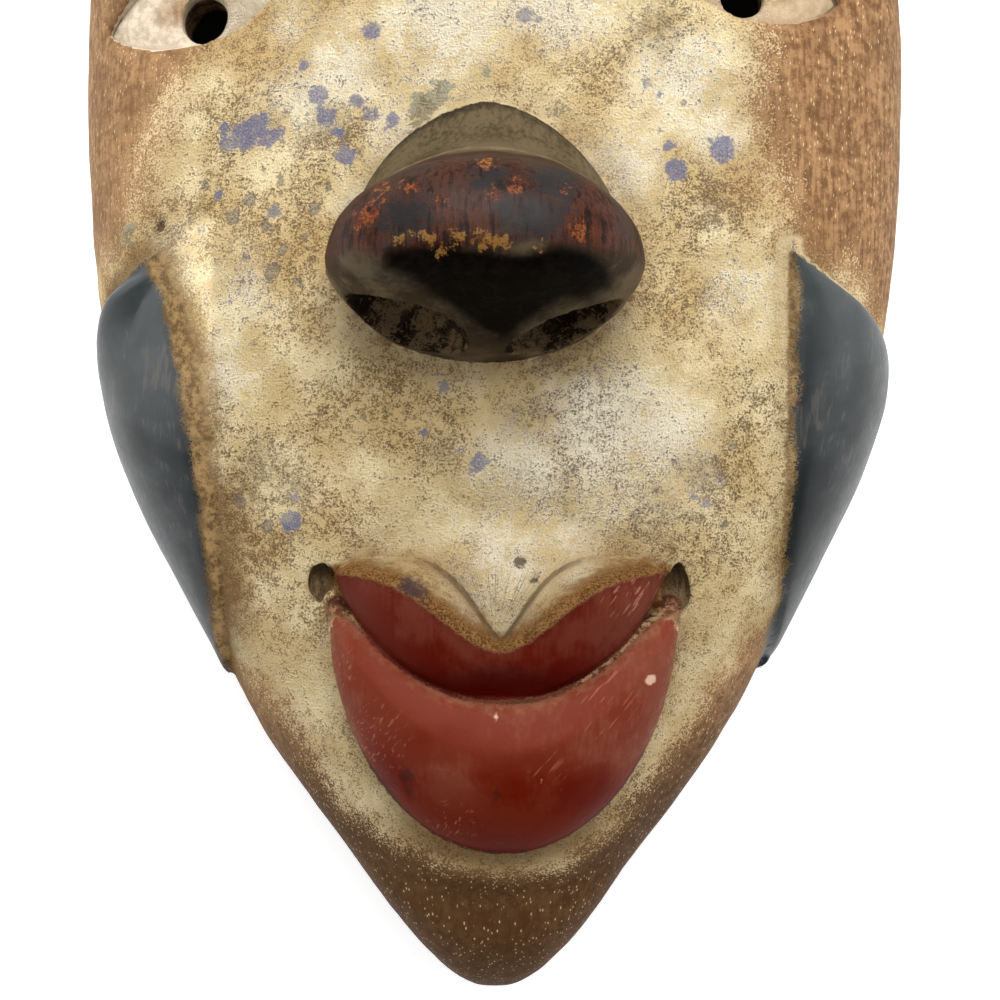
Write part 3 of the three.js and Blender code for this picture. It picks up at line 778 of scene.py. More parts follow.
def measure_paint(points):
    """The painted and worn areas, as distances in millimetres that are positive inside each."""
    x, y, z = points.T
    out = np.abs(x)
    lift = z - face_height(x, y)
    across = np.sin(np.linspace(-np.pi / 2, np.pi / 2, 61))
    crest = np.clip(crest_line(across), parting(across), upper_edge(across))
    upper = inside_loop(x, y, lip_loop(across, crest, parting(across)))
    bevel = inside_loop(x, y, lip_loop(across, upper_edge(across), crest))
    lower_x = mouth_shift + lower_lip_shift + across * lower_lip_width / 2
    top, low = lower_lip_lines(across)
    ledge = mix(top + lip_groove, low, groove_share)
    lower = inside_loop(x, y, list(zip(lower_x, ledge)) + list(zip(lower_x[::-1], low[::-1])))
    groove = inside_loop(x, y, list(zip(lower_x, top + 1.5)) + list(zip(lower_x[::-1], ledge[::-1])))
    front = z > 20
    fields = {
        "upper_lip": np.where(front, upper, -20),
        "bevel": np.where(front, bevel, -20),
        "lower_lip": np.where(front, lower, -20),
        "groove": np.where(front, groove, -20)}

    base = float(face_height(nose_shift, nose_y))
    turn = np.linspace(0, 2 * np.pi, 90, endpoint=False)
    along, round_about = np.sin(turn), np.cos(turn)
    spread = np.where(along > 0, np.abs(round_about) ** 1.44, np.abs(round_about))
    nose_loop = np.stack([nose_shift + np.sign(round_about) * spread * nose_width * .515,
                          nose_y + along * np.where(along > 0, nose_rise * 1.05, nose_drop * 1.08)], 1)
    near_nose = inside_loop(x, y, nose_loop)
    fields["nose"] = np.where(near_nose > -1, np.minimum(lift - .7, near_nose + 1.2),
                              np.minimum(near_nose, -1))
    fields["nose_height"] = np.clip((z - base) / nose_height, -.5, 1.1)

    fields["nose_under"] = np.where(z > 70, inside_loop(x, y, nose_under), -20)
    nostril_in = np.full(len(x), -20.)
    for side in sides:
        turn_z, turn_x, middle = nostril_place(side)
        about_z, about_x = turning(turn_z, turn_x)
        local = (points - middle) @ about_x @ about_z / nostril_sizes[side]
        nostril_in = np.maximum(nostril_in, (1.06 - np.linalg.norm(local, axis=1)) * 9)
    fields["nostril"] = nostril_in

    pad = np.full(len(x), -30.)
    strip = np.full(len(x), -30.)
    angle = np.arctan2(out / np.maximum(read_table(outline, y), 1),
                       np.maximum(z, 0) / np.maximum(read_table(profile, y), 1))
    for side in sides:
        foot, top = along_mask(pad_foot), along_mask(pad_tops[side])
        u = np.clip((y - foot) / (top - foot), 0, 1)
        sweep = math.radians(pad_sweep) * np.maximum(1 - (2 * u - 1) ** 2, 0) ** 1.4
        first = angle_out(pad_fronts[side] * half_width, y)
        back = (first + sweep - angle) * 75
        ends = np.minimum(y - foot, top - y)
        known = np.array(black_fronts[side])
        drawn = out - np.interp(y, known[:, 0], known[:, 1])
        edge = out - pad_fronts[side] * half_width
        own = x * side > 0
        # Where the solid pad ends, the black ends with it; in front the paint is worn back.
        pad = np.where(own, np.minimum.reduce([drawn, back + 1, ends + 4 + 0 * y, edge + 2]), pad)
        strip = np.where(own, np.minimum.reduce([edge + .5, back, ends + 1]), strip)
    fields["pad"] = pad
    fields["pad_body"] = strip

    bare = np.maximum(inside_loop(x, y, left_temple), inside_loop(x, y, right_temple))
    bare = np.maximum(bare, inside_loop(x, y, chin) * 2)
    crown = (np.hypot(x / 70, (y - 62) / 84) - 1) * 70
    bare = np.maximum(bare, np.where(y > 60, crown, -30))
    sides_low = 46 - z
    fields["bare"] = np.maximum(bare, np.minimum(sides_low, 12) * .8 - 6)

    lens = np.full(len(x), -30.)
    for side in sides:
        slant = math.radians(-eye_slant) * side
        along = (x - eye_x[side]) * math.cos(slant) + (y - eye_y[side]) * math.sin(slant)
        up = -(x - eye_x[side]) * math.sin(slant) + (y - eye_y[side]) * math.cos(slant)
        half = eye_lengths[side] / 2
        u = np.clip(along / half, -1, 1)
        opening = eye_opening / 2 * np.maximum(1 - u ** 2, 0) ** .8
        lens = np.maximum(lens, np.where(np.abs(along) < half, opening - np.abs(up), -3))
    fields["eye"] = lens
    fields["lift"] = np.clip(lift, -12, 12)

    hollow_across = np.clip(out / np.maximum(read_table(hollow_outline, y), 1), 0, 1)
    inside = (np.minimum(read_table(hollow_profile, y), 200)
              * np.maximum(1 - hollow_across ** fullness, 0) ** (1 / fullness))
    fields["hollow"] = np.where(read_table(hollow_outline, y) > 1.5, inside - z + .6, -20)

    for name, marks in round_marks.items():
        fields[name] = near_marks(x, y, marks)
    pit_x = mouth_width / 2 + pit_gap
    corner = [(mouth_shift + side * pit_x, mouth_y - pit_drop, gouged_reach) for side in sides]
    fields["corner_pits"] = near_marks(x, mouth_y - pit_drop + (y - mouth_y + pit_drop) * .62, corner)
    return fields


def make_mask():
    """The finished mesh, with the paint's measures on its points."""
    surface = Surface(*carved_mesh())
    raw = surface.points.copy()
    fields = measure_paint(raw)
    surface.soften(4)
    normal = surface.normals()[0]
    points = surface.points
    outside = smooth(-fields["hollow"], -2, 1)
    nose = smooth(fields["nose"], -.5, 1.5)
    lips = smooth(np.maximum(fields["upper_lip"], fields["lower_lip"]), -1, 2)
    pad = smooth(fields["pad_body"], 0, 2)
    face = 1 - np.maximum.reduce([nose, lips, pad])
    height = face * (.3 * lumps(points, 17, 1) + .14 * lumps(points, 6, 2)
                     + .07 * lumps(points, 2.6, 3))
    height += nose * (.45 * lumps(points, 11, 4) + .14 * lumps(points, 4, 5))
    height += lips * (.28 * lumps(points, 10, 6) + .06 * lumps(points, 3.5, 7))
    height += pad * (.3 * lumps(points, 15, 8) + .05 * lumps(points, 4, 9))
    height -= .9 * smooth(fields["pits"], -.6, .8) * face
    height -= .3 * smooth(fields["lip_scars"], -.5, .8)
    height = np.where(outside > .5, height, 1.1 * lumps(points * (1, .45, 1), 9, 10))
    surface.points = points + normal * height[:, None]
    box_low, box_high = (np.array(corner) * 1000 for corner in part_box("mask"))
    low, high = surface.points[:, 1].min(), surface.points[:, 1].max()
    surface.points[:, 1] = np.interp(surface.points[:, 1], (low, high), (box_low[1], box_high[1]))
    surface.points = np.clip(surface.points, box_low, box_high)
    fields["crease"] = surface.concavity(2)
    fields["hollows"] = surface.concavity(14)
    dusty = smooth(fields["nostril"], -.2, 1)
    fields["coarse"] = np.clip(face + dusty - .8 * smooth(fields["bare"], -3, 6) * face
                               + .3 * nose * smooth(raw[:, 1], -11, -6), .06, 1)
    cloudy = fields["cloudy"] = unevenness(raw, 7, 31)
    broad = fields["broad"] = unevenness(raw, 12, 41)
    fields["white"] = fields["white"] * .5 + (cloudy - .5) * 6
    fields["tan"] = fields["tan"] * .4 + (broad - .5) * 18
    fields["grey"] = fields["grey"] * .6 + (broad - .5) * 10
    fields["rubbed"] = smooth(fields["bare"] * .55 + (broad - .5) * 12, -6, 2)
    fields["bare"] = fields["bare"] * .55 + (broad - .5) * 9
    fields["soiled"] = smooth(-raw[:, 1], 0, 80)
    dirt_near = smooth(fields["dirt_and_darkening"], -6, 5)
    fields["dirt_and_darkening"] = (broad - .5) * .34 + fields["soiled"] * .02 + dirt_near * .09 - .015
    fields["beside"] = fields["pad"] + (broad - .5) * 9 - smooth(raw[:, 0], 0, 5) * 6
    fields["worn_black"] = fields["pad"] + (broad - .5) * 14
    fields["pad"] = fields["pad"] + (broad - .5) * 5
    fields["spent"] = smooth(np.abs(raw[:, 0] - 1.3), 30, 35) * smooth(raw[:, 1], -79, -73) * 3
    fields["facet"] = (smooth(raw[:, 1] + (broad - .5) * 8, -9.5, -6.5)
                       * smooth(fields["nose_height"], .36, .52))
    fields["scribed"] = smooth(-np.abs(raw[:, 0] - 1.3), -19, -11)
    fields["bridge"] = (1 - smooth(fields["nose_height"], .14, .36)) * smooth(raw[:, 1], -1, 5)
    made = mesh_object("carved_mask", surface.points / 1000, surface.faces)
    for name, values in fields.items():
        spread = made.data.attributes.new(name, "FLOAT", "POINT")
        spread.data.foreach_set("value", np.asarray(values, np.float32))
    made.data.shade_smooth()
    return made


def rgb(red, green, blue):
    """A colour as a painter reads it off a chart, 0 to 255, made linear."""
    parts = [value / 255 for value in (red, green, blue)]
    return tuple(p / 12.92 if p <= .04045 else ((p + .055) / 1.055) ** 2.4 for p in parts) + (1,)


class Value:
    """A number, colour or vector on its way through a material's nodes."""

    def __init__(self, paint, socket):
        self.paint = paint
        self.socket = socket

    def _math(self, kind, first, second=None):
        return self.paint.node("ShaderNodeMath", {"operation": kind}, {0: first, 1: second})

    def __add__(self, other):
        return self._math("ADD", self, other)

    def __radd__(self, other):
        return self._math("ADD", other, self)

    def __sub__(self, other):
        return self._math("SUBTRACT", self, other)

    def __rsub__(self, other):
        return self._math("SUBTRACT", other, self)

    def __mul__(self, other):
        return self._math("MULTIPLY", self, other)

    def __rmul__(self, other):
        return self._math("MULTIPLY", other, self)

    def most(self, other):
        return self._math("MAXIMUM", self, other)

    def size(self):
        return self._math("ABSOLUTE", self)

    def rise(self, low, high):
        """0 below low and 1 above high, smooth between; falls where low is above high."""
        return self.paint.node("ShaderNodeMapRange", {"interpolation_type": "SMOOTHSTEP"},
                               {0: self, 1: low, 2: high})


class Paint:
    """Builds one material's nodes. Positions are in millimetres on the object."""

    def __init__(self, name):
        self.material = bpy.data.materials.new(name)
        self.material.use_nodes = True
        self.tree = self.material.node_tree
        self.measures = {}
        self.tree.nodes.remove(self.tree.nodes["Principled BSDF"])
        place = self.node("ShaderNodeTexCoord", {}, {}, "Object")
        self.place = self.node("ShaderNodeMapping", {}, {0: place, "Scale": (1000, 1000, 1000)})

    def node(self, kind, settings, sockets, output=0):
        made = self.tree.nodes.new(kind)
        for name, setting in settings.items():
            setattr(made, name, setting)
        for name, value in sockets.items():
            if isinstance(value, Value):
                self.tree.links.new(value.socket, made.inputs[name])
            elif value is not None:
                made.inputs[name].default_value = value
        return Value(self, made.outputs[output])

    def __getitem__(self, name):
        """What the mesh carries under a name."""
        if name not in self.measures:
            self.measures[name] = self.node("ShaderNodeAttribute", {"attribute_name": name}, {}, "Fac")
        return self.measures[name]

    def stretched(self, x, y, z):
        return self.node("ShaderNodeMapping", {}, {0: self.place, "Scale": (x, y, z)})

    def noise(self, size, detail, rough, place=None):
        return self.node("ShaderNodeTexNoise", {}, {
            "Vector": place or self.place, "Scale": 1 / size, "Detail": detail, "Roughness": rough})

    def dots(self, size, place):
        """Distance to the nearest of scattered points, in cells of a size."""
        return self.node("ShaderNodeTexVoronoi", {}, {"Vector": place, "Scale": 1 / size})

    def blend(self, share, first, second):
        """From the first colour to the second, each a value or red, green and blue off a chart."""
        first, second = (rgb(*tone) if isinstance(tone, tuple) else tone for tone in (first, second))
        return self.node("ShaderNodeMix", {"data_type": "RGBA"}, {0: share, 6: first, 7: second}, 2)

    def tone(self, share, first, second):
        """A number that goes from first to second."""
        return self.node("ShaderNodeMix", {"data_type": "FLOAT"}, {0: share, 2: first, 3: second})

    def bump(self, height):
        return self.node("ShaderNodeBump", {}, {"Distance": .001, "Height": height})

    def coating(self, colour, rough, normal, coat=0):
        """One kind of surface, dull but for its coat."""
        return self.node("ShaderNodeBsdfPrincipled", {}, {
            "Base Color": colour, "Roughness": rough, "Normal": normal, "Specular IOR Level": .02,
            "Coat Weight": coat, "Coat Roughness": .34})

    def over(self, share, under, top):
        return self.node("ShaderNodeMixShader", {}, {0: share, 1: under, 2: top})

    def finish(self, surface):
        self.tree.links.new(surface.socket, self.tree.nodes["Material Output"].inputs["Surface"])
        return self.material


def painted_wood():
    """The whole finish: the face, and over it the lips, the black pads, the nose and the hollow."""
    p = Paint("painted_wood")
    cloudy, broad = p["cloudy"], p["broad"]
    along = p.node("ShaderNodeSeparateXYZ", {}, {0: p.place}, 1)
    small = p.noise(2.1, 2, .64)
    grain = p.noise(.46, 2, .76)
    fibre = p.noise(.9, 2, .6, p.stretched(1, .12, 1))
    grit = (grain - .5) * 1.7

    # The pale ground: chalky in places, tan and grey in others, and sandy with dirt all over.
    cream = p.blend((cloudy + (small - .5) * .6).rise(.3, .7), (216, 192, 142), (246, 228, 184))
    tan = (p["tan"] + (small - .5) * 12).rise(-3, 6)
    cream = p.blend(tan * .5, cream, (206, 170, 114))
    white = (p["white"] + (small - .5) * 12 + grit * 14).rise(-.5, 3.4)
    cream = p.blend(white * .72, cream, (246, 240, 222))
    grey = (p["grey"] + (small - .5) * 12 + grit * 12).rise(-1, 2.6)
    cream = p.blend(grey * .45, cream, (134, 124, 108))
    # The ground darkens towards the chin.
    cream = p.blend(p["soiled"] * .26, cream, (158, 136, 102))
    dirty = p["dirt_and_darkening"] + (small - .5) * .8 - white * .05
    specks = (grit + dirty * 1.5).rise(-.02, .26)
    cream = p.blend(specks * .4, cream, (146, 114, 68))
    dark_specks = (grit * 1.2 + dirty * 1.3).rise(.16, .33)
    cream = p.blend(dark_specks * .64, cream, (80, 58, 34))
    cracks = (small - .5).size().rise(.026, .004) * (broad + grit * .3).rise(.42, .56)
    cream = p.blend(cracks * .55, cream, (96, 72, 44))

    # Bare wood, rubbed brown, with short pale pores along the grain.
    figure = (fibre * .45 + small * .55 + grit * .12).rise(.36, .64)
    wood = p.blend(figure, (112, 80, 54), (168, 130, 92))
    wood = p.blend(cloudy.rise(.52, .38) * .35, wood, (104, 74, 50))
    sideways = p.node("ShaderNodeSeparateXYZ", {}, {0: p.place}, 0)
    wood = p.blend(sideways.rise(20, -20) * .1, wood, (208, 172, 126))
    wood = p.blend(along.rise(-82, -120) * .82, wood, (62, 37, 15))
    pores = p.dots(1.15, p.stretched(1.35, .5, 1.35))
    wood = p.blend(pores.rise(.24, .1) * small.rise(.36, .5) * .8, wood, (216, 190, 148))
    bare = (p["bare"] + (small - .5) * 10 + grit * 13).rise(-1.5, 3)
    colour = p.blend(p["rubbed"] * .38, cream, (166, 124, 78))
    colour = p.blend(bare, colour, wood)
    face_rough = p.tone(bare, .8, .56)
    coarse = p["coarse"]
    height = (small - .5) * (coarse * .5 + .12) + (grain - .5) * coarse * .95

    # Old drops of grey and blue paint.
    drops = (p["drops"] + (small - .5) * 1.5 + grit * .5).rise(-.1, .3)
    drop_rim = drops * (p["drops"] + (small - .5) * 1.5).rise(.75, .2)
    colour = p.blend(drops * .52, colour, (138, 130, 122))
    colour = p.blend(drop_rim * .36, colour, (92, 80, 68))
    spots = (p["blue_spots"] + (small - .5) * 2.4 + grit * 1.3).rise(-.1, .25)
    vivid = (cloudy + grit * .3).rise(.64, .5)
    spot_colour = p.blend(vivid, (142, 140, 146), (82, 96, 146))
    spot_colour = p.blend((grit + .04).rise(.06, .16) * .5, spot_colour, (196, 180, 150))
    colour = p.blend(spots * .76, colour, spot_colour)
    flaking = (p["flaking"] + (small - .5) * 9 + grit * 3).rise(.2, 1)
    flaking_colour = p.blend((small + grit * .4).rise(.4, .6), (64, 62, 52), (150, 148, 128))
    colour = p.blend(flaking * .75, colour, flaking_colour)

    # Dirt and painted shade in the creases, and painted shade in the broad hollows.
    dirt_and_darkening = (p["crease"] + (small - .5) * .2 + grit * .06).rise(.02, .26)
    colour = p.blend(dirt_and_darkening * .6, colour, (104, 78, 48))
    # Painted shade: the broad hollows are painted a little browner.
    hollow_shade = (p["hollows"] + (cloudy - .5) * .06 + grit * .02).rise(.006, .05)
    colour = p.blend(hollow_shade * .28, colour, (132, 100, 64))

    # Brown dirt beside the black pads, and tan below the lip.
    below = (p["lower_lip"] + (small - .5) * 4 + grit * 2).rise(-9, -3) * along.rise(-112, -121)
    colour = p.blend(below * .6, colour, (132, 100, 62))
    beside = (p["beside"] + (small - .5) * 6 + grit * 7).rise(-13, -3)
    colour = p.blend(beside * .66, colour, (112, 84, 50))

    # Eye pockets: a pale floor, darkened at its rim by the creases' dirt and painted shade.
    pocket = p["lift"].rise(-.4, -1.4) * p["eye"].rise(-2, 0)
    floor = p.blend(small.rise(.35, .65), (206, 190, 166), (234, 220, 198))
    floor = p.blend(sideways.rise(-5, 5) * .62, floor, (178, 150, 112))
    floor = p.blend(dirt_and_darkening * .8, floor, (96, 72, 48))
    colour = p.blend(pocket * .85, colour, floor)
    bored = p["lift"].rise(-3.6, -4.6) * p["eye"].rise(-1, 0)
    bored_colour = p.blend((small + grit * .3).rise(.35, .65), (66, 48, 32), (128, 100, 70))
    colour = p.blend(bored, colour, bored_colour)

    # Pits, and the gouged corners of the mouth.
    holes = (p["pits"] + grit * 1.2 + (small - .5) * 1.4).rise(0, .5)
    colour = p.blend(holes * .8, colour, (66, 50, 34))
    corners = (p["corner_pits"] + (small - .5) * 2).rise(-1.2, 1.2) * p["lift"].rise(-.2, -1)
    colour = p.blend(corners * .8, colour, p.blend(fibre.rise(.35, .65), (58, 42, 28), (112, 86, 58)))

    # The bevel above the red, rubbed to brown wood.
    near_red = (p["upper_lip"] + (small - .5) * 4 + grit * 1.5).rise(-5.4, -2.4)
    bevel = (p["bevel"].most(p["upper_lip"] + 2) + (small - .5) * 2 + grit).rise(-.6, .6)
    bevel_colour = p.blend((grit + (small - .5) * .6).rise(-.25, .25), (88, 56, 28), (146, 108, 64))
    bruise = (p["bruise"] + (fibre - .5) * 5).rise(-.5, 1)
    bevel_colour = p.blend(bruise * .8, bevel_colour, (66, 54, 58))
    colour = p.blend(bevel * (near_red * .72 + .28), colour, bevel_colour)
    scribed = p["bevel"].size().rise(.6, .15) * p["upper_lip"].rise(-1, -2) * p["scribed"]
    colour = p.blend(scribed * .6, colour, (88, 64, 40))
    groove = (p["groove"] + (small - .5) * 2.2 + grit * .9).rise(-.5, .9)
    dusty_line = (small + (cloudy - .5) + grit * .3).rise(.42, .62)
    colour = p.blend((p["groove"] + 1).rise(-.6, .4), colour, (84, 44, 30))
    colour = p.blend(groove, colour, p.blend(dusty_line, (88, 58, 38), (170, 142, 106)))

    # Knife scratches fan out above the notch of the lip.
    from_x, from_y = sideways - .3, along + 80
    fan = p.node("ShaderNodeMath", {"operation": "ARCTAN2"}, {0: from_x, 1: from_y})
    reach = p.node("ShaderNodeMath", {"operation": "SQRT"}, {0: from_x * from_x + from_y * from_y})
    lines = p.node("ShaderNodeTexNoise", {"noise_dimensions": "1D"},
                   {"W": fan * 7, "Scale": 5, "Detail": 2})
    fanned = (lines + (small - .5) * .3).rise(.56, .64) * reach.rise(17, 11) * p["lift"].rise(3, 1)
    colour = p.blend(fanned * along.rise(-81, -79) * .5, colour, (92, 76, 52))

    # Red lips.
    wear = (small - .5) * 1.4 + grit * .8
    upper = (p["upper_lip"] + .5 + wear).rise(-.1, .5)
    spent = p["spent"]
    lower = (p["lower_lip"] - along.rise(-104, -98) * .3 - spent + .4 + wear).rise(-.1, .5)
    spent_end = (p["lower_lip"] + 1.2 + wear).rise(-.1, .8) * spent.rise(.2, 1.6)
    spent_colour = p.blend((small + grit * .4).rise(.4, .62), (96, 60, 42), (150, 112, 84))
    colour = p.blend(spent_end * .85, colour, spent_colour)
    haze = (broad + (fibre - .5) * .3 + (small - .5) * .2).rise(.4, .66)
    # The upper lip is paler towards both ends: a painted highlight where its ends face the light.
    corner = (sideways - 1.3).size().rise(10, 30)
    upper_colour = p.blend(haze * .5 + corner * .4, (80, 14, 4), (102, 52, 38))
    # Its middle is painted near black along the bottom: painted shade where the lip turns down.
    upper_colour = p.blend(along.rise(-82, -88) * (1 - corner) * .85, upper_colour, (64, 5, 1))
    # The lower lip is a paler red at its top and a deeper red lower down: painted light on its upturned
    # top and painted shade below.
    lower_lip_lit = p.blend(haze, (110, 46, 30), (122, 66, 48))
    lower_lip_shaded = p.blend(haze, (90, 16, 0), (100, 29, 4))
    lower_colour = p.blend((along + (broad - .5) * 20).rise(-98, -112), lower_lip_lit, lower_lip_shaded)
    blotch = (broad - .5 + (small - .5) * .5).rise(.03, .14)
    lower_colour = p.blend(blotch * .3, lower_colour, (92, 22, 10))
    turned = p.node("ShaderNodeMapping", {}, {0: p.place, "Rotation": (0, 0, .7)})
    turned = p.node("ShaderNodeMapping", {}, {0: turned, "Scale": (1.7, .07, 1)})
    scratched = (p["lip_scratches"] + (small - .5) * 8).rise(-1, 3)
    scratches = p.noise(1, 1, .5, turned).rise(.6, .68) * scratched
    lower_colour = p.blend(scratches * .4, lower_colour, (168, 104, 78))
    upper_colour = p.blend(scratches * .45, upper_colour, (170, 124, 96))
    scars = (p["lip_scars"] + (small - .5) * 1.8).rise(-.3, .6)
    lower_colour = p.blend(scars * .7, lower_colour, (60, 22, 12))
    lip_marks = (p["lip_chips"] + (small - .5) * 1.2).rise(-.1, .4)
    lower_colour = p.blend(lip_marks * .85, lower_colour, (206, 168, 146))
    dust = (p["lower_lip"] + (small - .5) * 5).rise(2.2, -.6) * along.rise(-106, -96)
    lower_colour = p.blend(dust * .4, lower_colour, (150, 112, 84))
    # Its bottom edge is painted near black: painted shade where the lip turns under.
    shaded_low_edge = (p["lower_lip"] + (small - .5)).rise(1.5, .1) * along.rise(-98, -106)
    lower_colour = p.blend(shaded_low_edge * .75, lower_colour, (48, 12, 4))
    lips = upper.most(lower)
    lip_colour = p.blend(upper, lower_colour, upper_colour)
    lip_rough = p.tone(haze, .42, .54)

    # A pale worn ridge before the right pad's upper end.
    upper_right = along.rise(-26, -20) * sideways.rise(0, 1)
    ridge = p["pad_body"].rise(-3, -1.6) * p["pad_body"].rise(.4, -.6) * upper_right
    colour = p.blend(ridge * (small + grit * .3).rise(.34, .5) * .7, colour, (222, 200, 158))

    # Black side pads, sooty at their edges and worn through to brown.
    ledge = (p["pad_body"] + (small - .5)).rise(-.3, .6) * (p["worn_black"] + grit * 8).rise(-11, -3)
    ledge_colour = p.blend((small + grit * .4).rise(.35, .65), (86, 64, 40), (158, 128, 86))
    colour = p.blend(ledge * .85, colour, ledge_colour)
    black_edge = p["pad"] + (small - .5) * 3 + grit * 3.4
    black = black_edge.rise(-.6, .8) * (p["pad_body"] + 1.2).rise(-.5, .5)
    black_colour = p.blend(cloudy.rise(.35, .7), (24, 28, 29), (44, 49, 51))
    # The pads are painted paler towards their upper ends: a painted sheen.
    black_colour = p.blend(along.rise(-45, -5) * .32, black_colour, (84, 90, 90))
    scuffs = (fibre + (cloudy - .5) * .9).rise(.62, .8)
    black_colour = p.blend(scuffs * .3, black_colour, (104, 92, 76))
    black_rough = p.tone(small.rise(.3, .7), .36, .5)

    # The nose: brown-black, with red and ochre wear across its upper face.
    nose = (p["nose"] + (small - .5) * 1.4 + grit * .8).rise(-.2, .4)
    lacquer = p.blend((cloudy + (fibre - .5) * .3).rise(.35, .65), (58, 46, 33), (96, 83, 64))
    streak = fibre * .7 + small * .3
    facet = p["facet"]
    plum = p.blend((streak + grit * .15).rise(.36, .6), (24, 13, 10), (76, 38, 24))
    plum = p.blend((cloudy + (streak - .5) * .6).rise(.48, .64) * .7, plum, (50, 36, 35))
    nose_colour = p.blend(facet * .92, lacquer, plum)
    blue_black = (p["nose_blue"] * .6 + (small - .5) * 8 + (streak - .5) * 8).rise(-.8, 1.2)
    nose_colour = p.blend(blue_black * facet * .8, nose_colour, (32, 36, 37))
    deep = (p["nose_under"] + (small - .5) * 2).rise(-3.4, 0)
    nose_colour = p.blend(deep * (1 - facet) * .3, nose_colour, (26, 20, 14))
    under = (p["nose_under"] + (small - .5) * 1.6).rise(-1.4, 1.2)
    nose_colour = p.blend(under, nose_colour, p.blend(small.rise(.4, .7), (7, 5, 3), (16, 12, 8)))
    red_worn = (p["red_chips"] + (streak - .5) * 7 + grit * 1.6).rise(-.4, .7)
    red_wood = p.blend((small + grit * .4).rise(.45, .6), (84, 32, 14), (148, 82, 36))
    nose_colour = p.blend(red_worn * facet * .62, nose_colour, red_wood)
    ochre_worn = (p["ochre_chips"] + (small - .5) * 3.4 + (streak - .5) * 5 + grit * 1.5).rise(-.2, .6)
    ochre = p.blend((small + grit * .5).rise(.4, .62), (74, 46, 16), (146, 106, 50))
    nose_colour = p.blend(ochre_worn * .66, nose_colour, ochre)
    bridge = p["bridge"]
    bridge_colour = p.blend((fibre + (broad - .5)).rise(.3, .7), (70, 60, 42), (98, 86, 64))
    soot = (p["nose"] + (small - .5) * 3).rise(2.2, .4) * p["nose_height"].rise(.2, .05)
    bridge_colour = p.blend(soot * .7, bridge_colour, (36, 32, 28))
    nose_colour = p.blend(bridge * .95, nose_colour, bridge_colour)
    rim = (p["nose_height"] + (small - .5) * .05).rise(.3, .34) * (p["nose_height"] - .4).rise(0, -.05)
    rim_dust = rim * along.rise(0, 3) * (small + grit * .4).rise(.4, .6)
    nose_colour = p.blend(rim_dust * .5, nose_colour, (150, 128, 92))
    dusty = (p["nostril"] + (small - .5) * 1.2).rise(-.2, .6)
    dust_share = (small + (cloudy - .5) + grit * .5).rise(.4, .66)
    dusty_colour = p.blend(dust_share, (26, 18, 12), (112, 92, 66))
    nose_colour = p.blend(dusty * .95, nose_colour, dusty_colour)
    shine = p.tone(facet, .42, .56)
    nose_rough = p.tone(dusty, p.tone(bridge, shine, .6), .85)
    nose_coat = (facet * .12 + .05) * (1 - dusty) * (1 - bridge) * (1 - under)

    # Inside, plain gouged wood gone dark.
    hollow = p["hollow"].rise(-.2, .8)
    hollow_colour = p.blend(fibre.rise(.3, .7), (66, 46, 30), (104, 76, 48))

    # Each paint lies over the one before it.
    normal = p.bump(height)
    surface = p.coating(colour, face_rough, normal)
    surface = p.over(lips, surface, p.coating(lip_colour, lip_rough, normal, .05))
    surface = p.over(black, surface, p.coating(black_colour, black_rough, normal, .5))
    surface = p.over(nose, surface, p.coating(nose_colour, nose_rough, normal, nose_coat))
    surface = p.over(hollow, surface, p.coating(hollow_colour, .8, normal))
    return p.finish(surface)


mask = make_mask()
mask.data.materials.append(painted_wood())
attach(mask, "root")
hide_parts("mask")


# The stage, in metres.
floor_reach = 3
floor_z = -.0005
shadow_card_z = -.0002
wall_radius = 2.9
wall_height = 1.2
wall_sides = 48
# The width that the picture shows at the cheeks, and how far away the lens is from them.
picture_width = .2
camera_away = .286


def add_light(name, place, aim, power, width, height, tint):
    lamp = bpy.data.lights.new(name, "AREA")
    lamp.shape = "RECTANGLE"
    lamp.size = width
    lamp.size_y = height
    lamp.energy = power
    lamp.color = tint
    made = bpy.data.objects.new(name, lamp)
    made.location = place
    made.rotation_euler = (Vector(aim) - Vector(place)).to_track_quat("-Z", "Y").to_euler()
    bpy.context.scene.collection.objects.link(made)


def card(name, points, faces, material):
    """A part of the stage, in metres."""
    mesh = bpy.data.meshes.new(name)
    mesh.from_pydata(points, [], faces)
    mesh.materials.append(material)
    made = bpy.data.objects.new(name, mesh)
    bpy.context.scene.collection.objects.link(made)


def plain_material(name, colour, rough, glow):
    made = bpy.data.materials.new(name)
    made.use_nodes = True
    sockets = made.node_tree.nodes["Principled BSDF"].inputs
    sockets["Base Color"].default_value = (*colour, 1)
    sockets["Roughness"].default_value = rough
    sockets["Emission Color"].default_value = (1, 1, 1, 1)
    sockets["Emission Strength"].default_value = glow
    return made


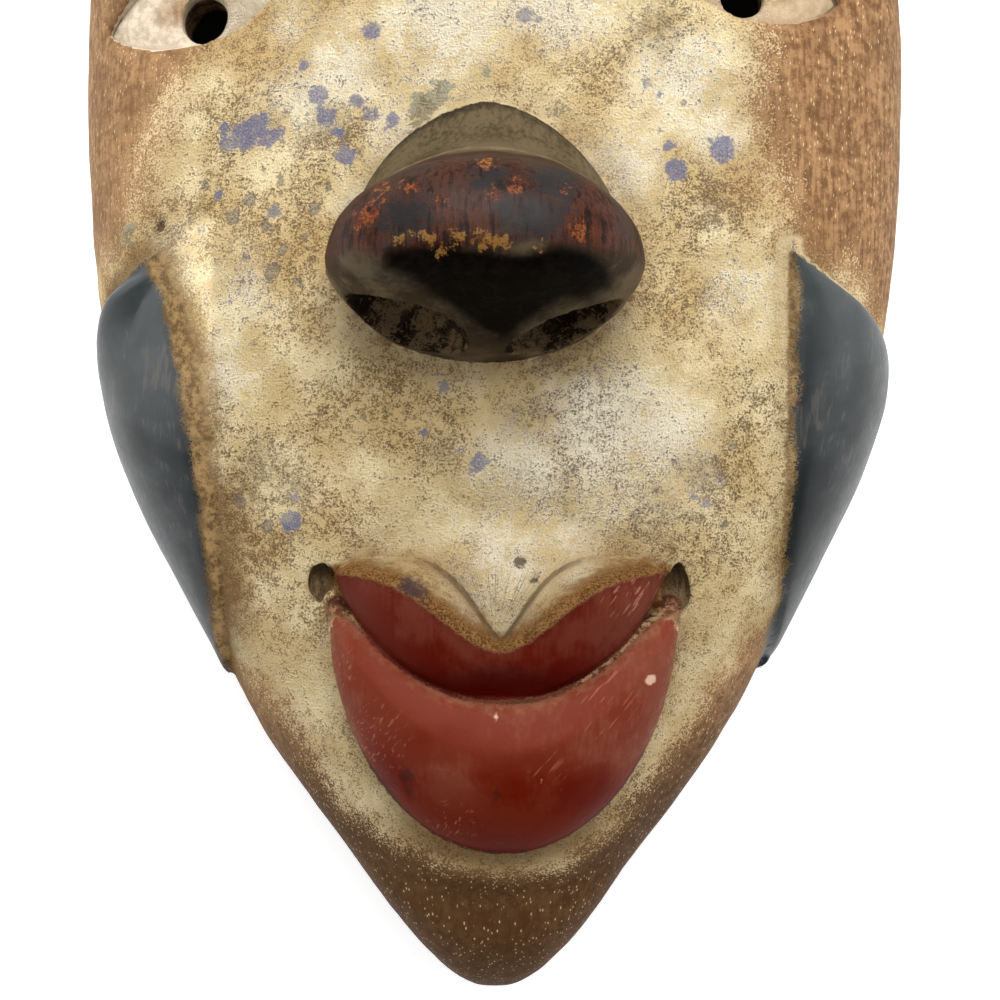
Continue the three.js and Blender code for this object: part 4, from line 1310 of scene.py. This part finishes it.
def set_stage():
    white_card = plain_material("white_card", (.8, .8, .8), .9, .6)
    square = [(x * floor_reach, y * floor_reach, floor_z) for x, y in ((-1, -1), (1, -1), (1, 1), (-1, 1))]
    card("floor", square, [(0, 1, 2, 3)], white_card)
    ring = [(wall_radius * math.cos(turn), wall_radius * math.sin(turn), z)
            for z in (floor_z, wall_height) for turn in np.arange(wall_sides) * 2 * math.pi / wall_sides]
    nexts = [(step, (step + 1) % wall_sides) for step in range(wall_sides)]
    card("wall", ring, [(a, b, b + wall_sides, a + wall_sides) for a, b in nexts], white_card)
    # Under the mask a dark card that gives off no light covers the floor: a painted shadow, so its hollow
    # stays dark.
    edge = [(x / 1000 - .004, y / 1000) for y, x in outline[::40] if x > 6]
    ring = [(x, y, shadow_card_z) for x, y in edge] + [(-x, y, shadow_card_z) for x, y in edge[::-1]]
    card("shadow_card_under_mask", ring, [tuple(range(len(ring)))],
         plain_material("painted_shadow_card", (.18, .15, .12), .5, 0))
    world = bpy.data.worlds.new("studio")
    world.use_nodes = True
    world.node_tree.nodes["Background"].inputs["Color"].default_value = (1, 1, 1, 1)
    world.node_tree.nodes["Background"].inputs["Strength"].default_value = .1
    bpy.context.scene.world = world
    add_light("window", (.05, .42, .62), (0, -.02, .05), 6.0, .6, .45, (1, .99, .97))
    add_light("ceiling", (0, .12, 1.1), (0, -.02, .05), 4.6, 1.3, 1.1, (1, 1, 1))
    add_light("left_card", (-.8, .1, .3), (0, -.03, .04), 1.6, .5, .5, (.96, .98, 1))
    add_light("right_card", (.8, .1, .3), (0, -.03, .04), 1.9, .5, .5, (.97, .99, 1))


def set_camera():
    lens = bpy.data.cameras.new("photo_view")
    lens.sensor_width = 36
    lens.lens = lens.sensor_width * camera_away / picture_width
    camera = bpy.data.objects.new("photo_view", lens)
    camera.location = (.0013, -.052, .348)
    bpy.context.scene.collection.objects.link(camera)
    bpy.context.scene.camera = camera


set_stage()
set_camera()
bpy.context.scene.view_settings.view_transform = "Standard"
paths = bpy.context.scene.cycles
paths.max_bounces = 2
paths.diffuse_bounces = 1
paths.glossy_bounces = 1
